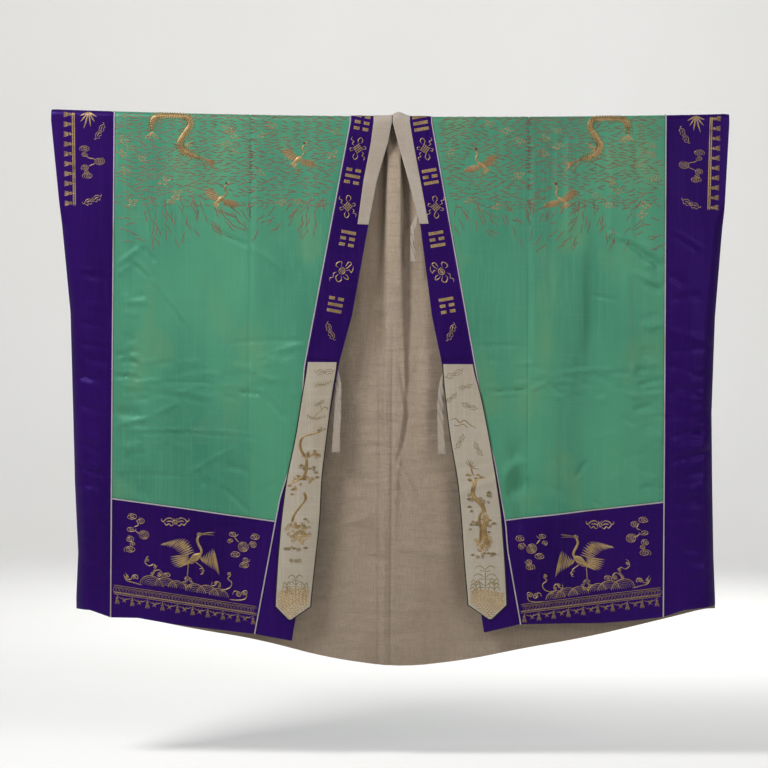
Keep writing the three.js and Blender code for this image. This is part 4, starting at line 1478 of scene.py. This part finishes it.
# The embroidery of the purple side bands, near the shoulder: a half lotus at the ridge, two bats, a
# cluster of clouds, and a border line with a row of tassels that point outwards.
BAT = both_ways([
    stitch([(2, 2), (9, 9), (18, 8), (25, 2), (29, 6), (26, 10)], 2.6),
    stitch([(2, -3), (9, -7), (13, -2), (18, -6), (22, -1), (25, 2)], 2.4),
    stitch([(3, 0), (11, 3), (19, 2)], 3.0),
    stitch([(1, 5), (4, 10)], 2.0),
]) + [coil(0, 0, 5.5, 6.5)]
CLOUD_CLUSTER = [
    *(coil(x, z, half_wide, half_high) for x, z, half_wide, half_high in (
        (-4, 38, 15, 9), (-5, 24, 9, 7), (34, 6, 15, 11), (-3, -12, 11, 9), (4, -33, 15, 9), (2, -24, 8, 6),
    )),
    stitch([(-2, 20), (8, 14), (20, 12), (26, 8)], 3.0),
    stitch([(24, 0), (14, -4), (6, -8)], 3.0),
]
TASSEL = [
    stitch([(0, 3), (0, -5)], 2.4),
    coil(0, -7, 3.6, 3.2, 1.8, 2.0),
    *(stitch([(way * 0.5, -9), (way, -15), (way * 1.35, -22)], 2.0, 0.8, 0.3) for way in (-4, -2, 0, 2, 4)),
]

for side in SIGN:
    mirror = -SIGN[side]
    out = 0 if side == "left" else 10
    stitches = []
    for x, z, turn, motif, size in (
        (-722, -29, 62, BAT, 0.82),
        (-740, -201, 24, BAT, 0.9),
        (-757, -108, 0, CLOUD_CLUSTER, 0.95),
    ):
        stitches += placed(motif, -mirror * (-x + out), z, turn * mirror, size, mirror)
    for lean, reach in ((-62, 26), (-38, 34), (-16, 46), (8, 40), (30, 32), (56, 26)):
        tip = (math.sin(math.radians(lean)) * reach, -math.cos(math.radians(lean)) * reach)
        petal = [stitch([(0, 0), (tip[0] * 0.5, tip[1] * 0.56), tip], 4.0, 0.9, 0.35)]
        stitches += placed(petal, -mirror * (752 + out), 22, 0, 1.0, mirror)
    for shift in (0, 4.5):
        line = [(-mirror * (793 + out - shift), 21), (-mirror * (788 + out - shift), -216)]
        stitches.append(stitch(line, 3.4, 0.9, 0.01, 5.0))
    for z in np.linspace(14, -208, 10):
        at = 791 + out + (z - 14) * 0.021
        stitches += placed(TASSEL, -mirror * at, z, -90 * mirror, 1.15)
    for name, lay, start in (("side", on_front[side], WALL), ("back", on_back, BACK_OUTSIDE)):
        add_embroidery(f"{name}_band_gold_{side}", stitches, lay, start, gold_thread)


# The embroidery of the collar. Four trigrams on each band are worked as bars of flat gold, with
# endless knots and ribboned treasures between them and a bat at the end.
KNOT = [
    *placed([stitch([(-10, at), (10, at)], 1.9, 0.8, 0.1) for at in (-7, -2.4, 2.4, 7)], 0, 0, 45),
    *placed([stitch([(-10, at), (10, at)], 1.9, 1.0, 0.1) for at in (-7, -2.4, 2.4, 7)], 0, 0, -45),
    stitch([(2, 10), (-3, 18), (2, 26), (8, 20), (4, 11)], 2.4),
    stitch([(-2, -10), (3, -18), (-2, -26), (-8, -20), (-4, -11)], 2.4),
    stitch([(-8, 5), (-15, 9), (-12, 15), (-19, 18), (-17, 26)], 2.4),
    stitch([(8, -5), (15, -9), (12, -15), (19, -18), (17, -26)], 2.4),
    stitch([(9, 4), (15, 8), (18, 3), (11, 0)], 2.2),
    stitch([(-9, -4), (-15, -8), (-18, -3), (-11, 0)], 2.2),
]
FLOWER_KNOT = [
    coil(0, 0, 8, 8),
    stitch([(5, 4), (12, 10), (17, 18), (11, 20), (5, 8)], 2.4),
    stitch([(-4, -6), (-9, -14), (-4, -22), (3, -18), (0, -8)], 2.4),
    stitch([(-6, 5), (-13, 9), (-10, 16), (-3, 18), (-2, 8)], 2.4),
    stitch([(6, -5), (13, -7), (16, -14), (9, -13), (4, -8)], 2.4),
    stitch([(8, 2), (15, 5), (19, 0), (22, 8), (20, 16)], 2.2),
    stitch([(-8, -3), (-15, -8), (-14, -15), (-20, -18), (-19, -26)], 2.2),
]
COLLAR_MOTIFS = {
    "left": [(-2, "000"), (-67, KNOT), (-136, "010"), (-212, KNOT), (-292, "100"), (-373, FLOWER_KNOT),
             (-457, "011"), (-524, BAT)],
    "right": [(-2, "111"), (-67, KNOT), (-136, "101"), (-212, KNOT), (-292, "101"), (-373, FLOWER_KNOT),
              (-457, "100"), (-524, BAT)],
}


COLLAR_LEAN = 10.3  # degrees that the collar leans from upright
GUARD_BOTTOM = -252.0


def collar_middle(side, z):
    """The middle of what shows of the collar, beside its guard or below it."""
    covered = 0
    if z > GUARD_BOTTOM:
        covered = GUARD_SHARE_TOP + (GUARD_SHARE_END - GUARD_SHARE_TOP) * min(z / GUARD_BOTTOM, 1)
    inner = inner_edge(side, z) * (1 - covered) + band_seam(side, z) * covered
    return inner * 0.5 + band_seam(side, z) * 0.5


def trigram(lines):
    """Three bars one above another, each whole (1) or parted in the middle (0)."""
    bars = []
    for level, whole in zip((15.5, 0, -15.5), lines):
        spans = [(-19, 19)] if whole == "1" else [(-19, -3.5), (3.5, 19)]
        for lap in (-2.7, 0, 2.7):
            bars += [stitch([(a, level + lap), (b, level + lap)], 3.0, 0.8, 0.03, 1.4) for a, b in spans]
    return bars


for side in SIGN:
    stitches = []
    for i, (z, motif) in enumerate(COLLAR_MOTIFS[side]):
        x = collar_middle(side, z)
        turn = SIGN[side] * COLLAR_LEAN
        if isinstance(motif, str):
            stitches += placed(trigram(motif), x, z, turn)
        else:
            extra = 58 if motif is BAT else -12 if i == 3 else 0
            size = 0.85 if motif is BAT else 1.08 if z > GUARD_BOTTOM else 1.25
            stitches += placed(motif, x, z, turn + SIGN[side] * extra, size, -SIGN[side])
    start = COLLAR_START + COLLAR_THICK
    add_embroidery(f"collar_gold_{side}", stitches, on_front[side], start, gold_thread)


# The embroidery of the hem panels. A crane stands on a rock above mountains and breaking waves, with
# clouds and a bat, and a border of patterned braid and swagged tassels runs along the hem.
CRANE = [
    *feathers([(2, 10), (-8, 31), (-21, 43), (-46, 41), (-70, 32)],
              [(-34, -2), (-42, 6), (-50, 14), (-62, 20), (-84, 26)], 14, 3.6),
    *feathers([(-6, 14), (-14, 28), (-24, 37)], [(-22, 6), (-30, 14), (-40, 24)], 6, 3.2),
    *feathers([(-2, -14), (-12, -6), (-10, 2)],
              [(-27, -25), (-40, -31), (-53, -27), (-60, -16), (-62, -4)], 10, 3.8),
    *feathers([(14, -2), (25, 4), (46, 20), (52, 8)],
              [(22, -17), (35, -27), (46, -34), (55, -40), (63, -50)], 12, 3.4),
    stitch([(-14, -14), (2, -5), (19, 6)], 19, 2.4, 0.45),
    stitch([(18, 4), (17, 15), (11, 27), (7, 39), (11, 50)], 6.4, 2.0, 0.06),
    coil(11, 53, 6.4, 5.4, 2.4),
    stitch([(14, 54), (32, 57), (52, 59)], 2.4, 1.2),
    stitch([(14, 52), (32, 53), (50, 52)], 2.0, 1.2),
    coil(-8, -14, 9, 7),
    stitch([(-14, -18), (-16, -36), (-17, -54)], 2.8, 1.2, 0.1),
    stitch([(-26, -57), (-17, -53), (-8, -57)], 2.2),
    stitch([(2, -15), (13, -23), (21, -31), (23, -44)], 2.8, 1.2, 0.1),
    stitch([(12, -33), (20, -32), (27, -40)], 2.2),
    stitch([(14, -46), (22, -44), (16, -36)], 2.2),
]
PANEL_CLOUDS = [
    *(coil(x, z, half_wide, half_high) for x, z, half_wide, half_high in (
        (-157, 96, 15, 8), (-135, 85, 12, 8), (-158, 65, 13, 7), (-126, 50, 15, 12), (-161, 40, 12, 8),
        (-160, 14, 16, 9), (-153, 28, 8, 6), (122, 24, 14, 14), (97, 55, 13, 7), (91, 38, 9, 6),
        (150, 48, 14, 8), (147, 28, 9, 8), (101, 4, 15, 8), (129, -9, 10, 7), (126, -23, 13, 9),
    )),
    stitch([(-146, 90), (-140, 76), (-152, 70)], 3.0),
    stitch([(-148, 62), (-140, 56), (-130, 52)], 3.0),
    stitch([(100, 48), (106, 40), (112, 34)], 3.0),
    stitch([(136, 28), (144, 38)], 3.0),
    stitch([(112, 10), (106, 6)], 3.0),
]
ROCK = [coil(-15 + 9 * math.cos(turn), -69 + 9 * math.sin(turn), 5.5, 5) for turn in np.linspace(0, 5.3, 6)]
WAVES = [
    stitch(points, 2.8, 1.0, 0.15)
    for points in (
        [(-112, -2), (-119, -6), (-122, -18), (-112, -26), (-101, -22), (-96, -30), (-103, -42), (-106, -52)],
        [(-106, -54), (-98, -40), (-88, -36), (-80, -44), (-86, -52), (-94, -48)],
        [(-92, -58), (-80, -56), (-76, -46), (-64, -44), (-60, -50), (-68, -53)],
        [(-172, -42), (-166, -52), (-170, -58), (-158, -60), (-152, -50), (-142, -50), (-140, -58),
         (-148, -56)],
        [(-176, -46), (-168, -62), (-150, -68), (-128, -74)],
        [(89, -38), (91, -48), (84, -56), (94, -66), (90, -78), (76, -84), (66, -82)],
        [(46, -62), (44, -74), (54, -72), (58, -64), (66, -70), (62, -80), (70, -86)],
        [(96, -98), (100, -88), (108, -88), (106, -96), (114, -100), (120, -90), (130, -86), (132, -94),
         (126, -98)],
        [(132, -92), (128, -106), (110, -110), (88, -108)],
    )
]
WAVES += [coil(x, z, 5, 4.2, 2.4, 2.0) for x, z in (
    (-104, -46), (-86, -46), (-69, -50), (-148, -55), (-166, -54), (55, -67), (64, -75), (88, -44),
    (112, -92), (126, -94), (-116, -12), (-96, -28), (72, -86),
)]
MOUNTAINS = ((-106, -76, 29), (-70, -79, 27), (-42, -82, 22), (4, -92, 25), (34, -97, 27), (62, -102, 24))
MOUNTAIN_LEAN = 0.145
BORDER_START = SIDE_SEAM - 5
BORDER_INSET = 9
BORDER = {"left": (-1157.8, 0.145), "right": (-1155.5, 0.128)}  # its height at the start, and its slope
BACK_BORDER_HIGH = 78  # above the back's hem
BRAID_LINES = ((0, 2.0), (4, 1.6), (17.5, 3.2), (21.5, 2.0))  # how far down each is, and its width
BRAID_KEY = [(3.4, -4), (-3.4, -4), (-3.4, 4), (2, 4), (2, -0.6), (-0.6, -0.6)]
KEY_PITCH, KEY_DROP = 8.2, 10.8
TASSEL_DROP, TASSEL_INSET = 25, 11


def border_line(side, at):
    top, slope = BORDER[side]
    return top - slope * (BORDER_START - at)


def back_border_line(side, at):
    return back_hem(SIGN[side] * at) + BACK_BORDER_HIGH


def hem_border(side, first, last, count, line):
    """A braid between two lines, with tassels and crossed swags hung from it."""
    sign = SIGN[side]
    parts = []
    for lower, width in BRAID_LINES:
        level = [(sign * at, line(at) - lower) for at in np.linspace(first, last, 30)]
        parts.append(stitch(level, width, 0.9, 0.005, 6.0))
    key = [stitch(BRAID_KEY, 1.4, 0.7, 0.05, 3.0)]
    for at in np.arange(first - 5, last + 4, -KEY_PITCH):
        parts += placed(key, sign * at, line(at) - KEY_DROP, 0, 1.0, -sign)
    pitch = (first - last - 2 * TASSEL_INSET) / (count - 1)
    half = pitch / 2
    swag = [
        stitch([(0, 0), (-half * 0.5, -5), (-half, -7), (-half * 1.5, -5), (-2 * half, 0)], 2.0),
        stitch([(-half - 6, -1), (-half, -9), (-half + 6, -16)], 2.0),
        stitch([(-half + 6, -1), (-half, -9), (-half - 6, -16)], 2.0),
        coil(-half, -9, 3.4, 3, 1.6, 1.8),
    ]
    for i in range(count):
        at = first - TASSEL_INSET - i * pitch
        parts += placed(TASSEL, sign * at, line(at) - TASSEL_DROP)
        if i < count - 1:
            turn = math.degrees(math.atan((line(at) - line(at - pitch)) / pitch)) * sign
            parts += placed(swag, sign * at, line(at) - TASSEL_DROP, turn, 1.0, sign)
    return parts


def mountain(x, z, half):
    """A round mountain's outline, which leans with the hem."""
    arc = [(half * math.cos(turn), half * math.sin(turn)) for turn in np.linspace(0, np.pi, 9)]
    return [(x + across, z - MOUNTAIN_LEAN * across + 0.86 * up) for across, up in arc]


for side in SIGN:
    sign, mirror = SIGN[side], -SIGN[side]
    place = (sign * 481, -1084)
    gold = placed(CRANE + PANEL_CLOUDS + ROCK + WAVES, *place, 0, 1.0, mirror)
    gold += placed(BAT, sign * 529, -1002, 0, 1.2)
    brown = []
    for x, z, half in MOUNTAINS:
        gold += placed([stitch(mountain(x, z, half), 2.3, 1.1, 0.05)], *place, 0, 1.0, mirror)
        for inset in np.arange(4.6, half - 3, 5.2):
            inside = [stitch(mountain(x, z, half - inset), 1.5, 0.5, 0.05)]
            brown += placed(inside, *place, 0, 1.0, mirror)
    border_end = abs(band_seam(side, -1200)) + BORDER_INSET
    brown += hem_border(side, BORDER_START, border_end, 10, partial(border_line, side))
    behind = hem_border(side, BORDER_START, 6, 16, partial(back_border_line, side))
    for name, stitches, lay, start, finish in (
        ("back_hem_border", behind, on_back, BACK_OUTSIDE, brown_thread),
        ("hem_panel_gold", gold, on_front[side], WALL, gold_thread),
        ("hem_panel_brown", brown, on_front[side], WALL, brown_thread),
    ):
        add_embroidery(f"{name}_{side}", stitches, lay, start, finish)


# The embroidery of the streamers. Bats and twigs come first, then an old pine on the left and a
# coiling tree on the right, each above rocks, and last ferns over a ground of gold at the point.
def sprig(points, leaf, width=2.6):
    """A stem with leaves on both sides, which get shorter towards its tip."""
    stem = curved(points, 6.0)
    parts = [stitch(points, width)]
    for i, (place, ahead, aside) in enumerate(steps_along(stem)):
        long = leaf * (1 - 0.5 * i / len(stem))
        for way in (-1, 1):
            tip = place + (ahead * 0.6 + way * aside * 0.8) * long
            parts.append(stitch([place, (place + tip) / 2 + ahead, tip - ahead * 1.5], 2.0, 0.7, 0.35))
    return parts


def needles(x, z, reach):
    """A clump of pine needles, spread like a fan."""
    ends = [(x + reach * math.cos(turn), z + reach * math.sin(turn)) for turn in np.linspace(0.2, 2.9, 8)]
    return [
        stitch([(x, z), (a * 0.5 + x * 0.5, b * 0.5 + z * 0.5 + 1), (a, b)], 1.8, 0.8, 0.3)
        for a, b in ends
    ]


def rocks(chance, x, z, half_wide, half_high, count):
    turns, reach = chance.uniform(0, 2 * np.pi, count), np.sqrt(chance.random(count))
    return [
        coil(x + half_wide * r * math.cos(t), z + half_high * r * math.sin(t), chance.uniform(4, 8),
             chance.uniform(3, 6), 2.6, 2.1)
        for t, r in zip(turns, reach)
    ]


def foliage(chance, x, z, half_wide, half_high, count):
    """Clumps of needles and small coils, spread by chance over an oval."""
    parts = []
    for turn, reach in zip(chance.uniform(0, 2 * np.pi, count), np.sqrt(chance.random(count))):
        at = x + half_wide * reach * math.cos(turn), z + half_high * reach * math.sin(turn)
        if chance.random() < 0.5:
            parts += needles(*at, chance.uniform(6, 9))
        else:
            parts.append(coil(*at, chance.uniform(3.5, 6), chance.uniform(3, 5), 2.4, 1.9))
    return parts


def fern(x, z, high, reach):
    """A stem with three pairs of fronds that curl over at their tips."""
    parts = [stitch([(x, z), (x + 1, z + high / 2), (x, z + high)], 2.6)]
    for share in (0.35, 0.66, 0.97):
        level, out = z + high * share, reach * (1.25 - 0.45 * share)
        for side_out in (-out, out):
            tip = x + side_out
            frond = [(x, level - 6), (x + side_out * 0.5, level + 4), (tip, level), (tip, level - 7)]
            parts.append(stitch(frond, 2.8, 0.8, 0.2))
            parts.append(stitch([(x, level - 10), (x + side_out * 0.6, level - 7)], 2.2))
    return parts


STREAMER_STEMS = {
    "left": (
        ("sprig", 10, [(-190, -664), (-176, -656), (-158, -655), (-140, -646)]),
        ("sprig", 8, [(-207, -728), (-186, -740), (-168, -738), (-152, -733)]),
        ("twig", 3.0, [(-186, -742), (-176, -726), (-166, -720), (-170, -702)]),
        ("twig", 3.4, [(-166, -716), (-154, -712), (-150, -722)]),
        ("trunk", 6.0, [(-162, -770), (-186, -778), (-210, -785), (-218, -800), (-216, -818), (-203, -840)]),
        ("trunk", 7.0, [(-203, -840), (-202, -860), (-207, -880), (-224, -893), (-242, -902)]),
        ("trunk", 6.0, [(-209, -922), (-204, -940), (-219, -961), (-233, -982), (-237, -1000)]),
    ),
    "right": (
        ("twig", 4.0, [(151, -744), (166, -738), (178, -748), (189, -742), (204, -754), (223, -764)]),
        ("twig", 3.0, [(160, -752), (172, -756), (186, -752), (200, -764)]),
        ("trunk", 9.0, [(218, -888), (211, -923), (222, -940), (236, -956), (242, -974)]),
        ("trunk", 12.0, [(242, -974), (244, -994), (239, -1014), (246, -1055)]),
        ("trunk", 6.0, [(238, -962), (228, -984), (232, -1012), (230, -1050)]),
        *(("twig", 3.4, [(214, -884), (207, -862), tip]) for tip in (
            (190, -842), (197, -836), (205, -838), (213, -842), (222, -852), (228, -864))),
    ),
}
STREAMER_BATS = {
    "left": [(-159, -626, 4, 0.85), (-170, -703, 30, 0.5)],
    "right": [(164, -629, 24, 0.85), (192, -660, 14, 0.62), (157, -688, 40, 0.62), (201, -709, -20, 0.72),
              (180, -796, 62, 0.72), (222, -814, -60, 0.7)],
}
# Patches of leaves, rocks and turf, spread over ovals in gold (1) or olive (0)
STREAMER_PATCHES = {
    "left": (
        (foliage, 1, -192, -832, 24, 10, 12),
        (foliage, 0, -194, -862, 26, 9, 10),
        (foliage, 1, -217, -895, 28, 11, 14),
        (foliage, 1, -237, -919, 8, 14, 5),
        (foliage, 0, -182, -884, 12, 8, 3),
        (foliage, 0, -164, -772, 12, 7, 3),
        (foliage, 0, -204, -1010, 18, 26, 10),
        (rocks, 1, -222, -1024, 31, 28, 46),
        (foliage, 0, -230, -1065, 30, 4, 9),
        (rocks, 0, -232, -1092, 18, 6, 6),
    ),
    "right": (
        (foliage, 1, 214, -886, 28, 9, 9),
        (foliage, 0, 203, -934, 12, 9, 7),
        (foliage, 0, 248, -932, 10, 16, 6),
        (foliage, 0, 208, -966, 12, 7, 4),
        (foliage, 0, 236, -1006, 34, 19, 18),
        (rocks, 1, 241, -1046, 25, 22, 32),
        (foliage, 0, 236, -1078, 34, 4, 9),
        (rocks, 0, 230, -952, 12, 20, 5),
    ),
}
PATCH_SEEDS = {"left": 31, "right": 32}
FERNS = {
    "left": ((-228, -1186, 54, 20), (-250, -1184, 34, 10), (-206, -1182, 30, 10)),
    "right": ((243, -1172, 66, 28), (220, -1172, 30, 12), (266, -1172, 34, 12)),
}

for side in SIGN:
    sign = SIGN[side]
    chance = np.random.default_rng(PATCH_SEEDS[side])
    gold, olive = [], []
    for kind, size, points in STREAMER_STEMS[side]:
        if kind == "sprig":
            olive += sprig(points, size)
        elif kind == "twig":
            olive.append(stitch(points, size))
        else:
            for aside, up in ((0, 0), (size * 0.34, 1), (-size * 0.34, -1)):
                strand = [(a + aside, b + up) for a, b in points]
                gold.append(stitch(strand, size * 0.55, 1.5, 0.1))
    for x, z, turn, size in STREAMER_BATS[side]:
        olive += placed(BAT, x, z, turn, size)
    for kind, is_gold, *patch in STREAMER_PATCHES[side]:
        (gold if is_gold else olive).extend(kind(chance, *patch))
    for x, z, high, reach in FERNS[side]:
        olive += fern(x, z, high, reach)
    corner_z, corner_outer, corner_inner = (rows[0] for rows in STREAMERS[side].values())
    tip_z, tip_x = STREAMER_TIPS[side]
    for z in np.arange(-1172, tip_z + 5, -4.2):
        narrow = max((corner_z - z) / (corner_z - tip_z), 0)
        ends = [edge * (1 - narrow) + tip_x * narrow for edge in (corner_outer - 4, corner_inner + 3)]
        x = np.linspace(*ends, max(int((ends[0] - ends[1]) / 4), 3))
        zigzag = 1.6 * np.cos(np.arange(len(x)) * np.pi)
        rise = zigzag + 4 * (1 - narrow) * (1 + np.sin((x - ends[1]) / 17))
        gold.append(stitch([(sign * a, z + b) for a, b in zip(x, rise)], 2.9, 0.8, 0.04))
    top = STREAMER_START + BACKING_THICK + LAYER_GAP + STREAMER_THICK
    for name, stitches, finish in (("gold", gold, gold_thread), ("olive", olive, olive_thread)):
        lay = partial(on_streamer, side)
        add_embroidery(f"streamer_{name}_{side}", stitches, lay, top, finish)


# The studio. A pale floor curves up into a low wall all round. Two soft boxes light the robe from in
# front, the stronger one from the upper left, one lights its back and one the wall behind it.
FLOOR_LEVEL = -1.6
FLOOR_REACH = 7.0
WALL_BEND = 2.0
WALL_HIGH = 4.2
BACKDROP_SIDES = 96
backdrop_paint, backdrop_shader = new_finish("backdrop paint", 0.9)
backdrop_tone = streaks(backdrop_paint, (1, 1, 1), 0.6)
link(
    backdrop_paint,
    fade_between(backdrop_paint, backdrop_tone, 0.3, 0.7, colour(236, 235, 232), colour(240, 239, 237)),
    backdrop_shader,
    "Base Color",
)
profile = [(0.0, 0.0), (FLOOR_REACH, 0.0)]
for turn in np.linspace(0.1, math.pi / 2, 12):
    profile.append((FLOOR_REACH + WALL_BEND * math.sin(turn), WALL_BEND - WALL_BEND * math.cos(turn)))
profile.append((FLOOR_REACH + WALL_BEND, WALL_HIGH))
backdrop_points = [
    (reach * math.cos(turn), reach * math.sin(turn), FLOOR_LEVEL + high)
    for reach, high in profile
    for turn in np.linspace(0, 2 * math.pi, BACKDROP_SIDES, endpoint=False)
]
backdrop_faces = [
    (row + i, row + (i + 1) % BACKDROP_SIDES, row + BACKDROP_SIDES + (i + 1) % BACKDROP_SIDES,
     row + BACKDROP_SIDES + i)
    for row in range(0, (len(profile) - 1) * BACKDROP_SIDES, BACKDROP_SIDES)
    for i in range(BACKDROP_SIDES)
]
backdrop_mesh = bpy.data.meshes.new("backdrop")
backdrop_mesh.from_pydata(backdrop_points, [], backdrop_faces)
backdrop_mesh.materials.append(backdrop_paint)
backdrop_mesh.polygons.foreach_set("use_smooth", np.ones(len(backdrop_mesh.polygons), bool))
backdrop = bpy.data.objects.new("backdrop", backdrop_mesh)
bpy.context.scene.collection.objects.link(backdrop)


def add_soft_box(name, place, aim, size, power):
    lamp = bpy.data.lights.new(name, "AREA")
    lamp.size = size
    lamp.energy = power
    box = bpy.data.objects.new(name, lamp)
    box.location = place
    direction = [a - b for a, b in zip(aim, place)]
    level = math.hypot(direction[0], direction[1])
    box.rotation_euler = (
        math.pi / 2 + math.atan2(direction[2], level), 0, math.atan2(direction[1], direction[0]) - math.pi / 2
    )
    box.visible_camera = False
    bpy.context.scene.collection.objects.link(box)


add_soft_box("key box", (-1.9, -1.9, 1.9), (0, 0, -0.2), 1.0, 118)
add_soft_box("fill box", (2.6, -4.0, 1.3), (0, 0, -0.4), 1.8, 62)
add_soft_box("back box", (1.6, 4.0, 2.2), (0, 0, -0.6), 2.0, 120)
add_soft_box("wall box", (0, 3.6, 3.4), (0, 9, -1.6), 3.0, 170)
scene = bpy.context.scene
scene.world = bpy.data.worlds.new("studio air")
scene.world.use_nodes = True
air = scene.world.node_tree.nodes["Background"]
air.inputs["Color"].default_value = (0.93, 0.95, 1.0, 1.0)
air.inputs["Strength"].default_value = 0.24
scene.view_settings.view_transform = "Standard"
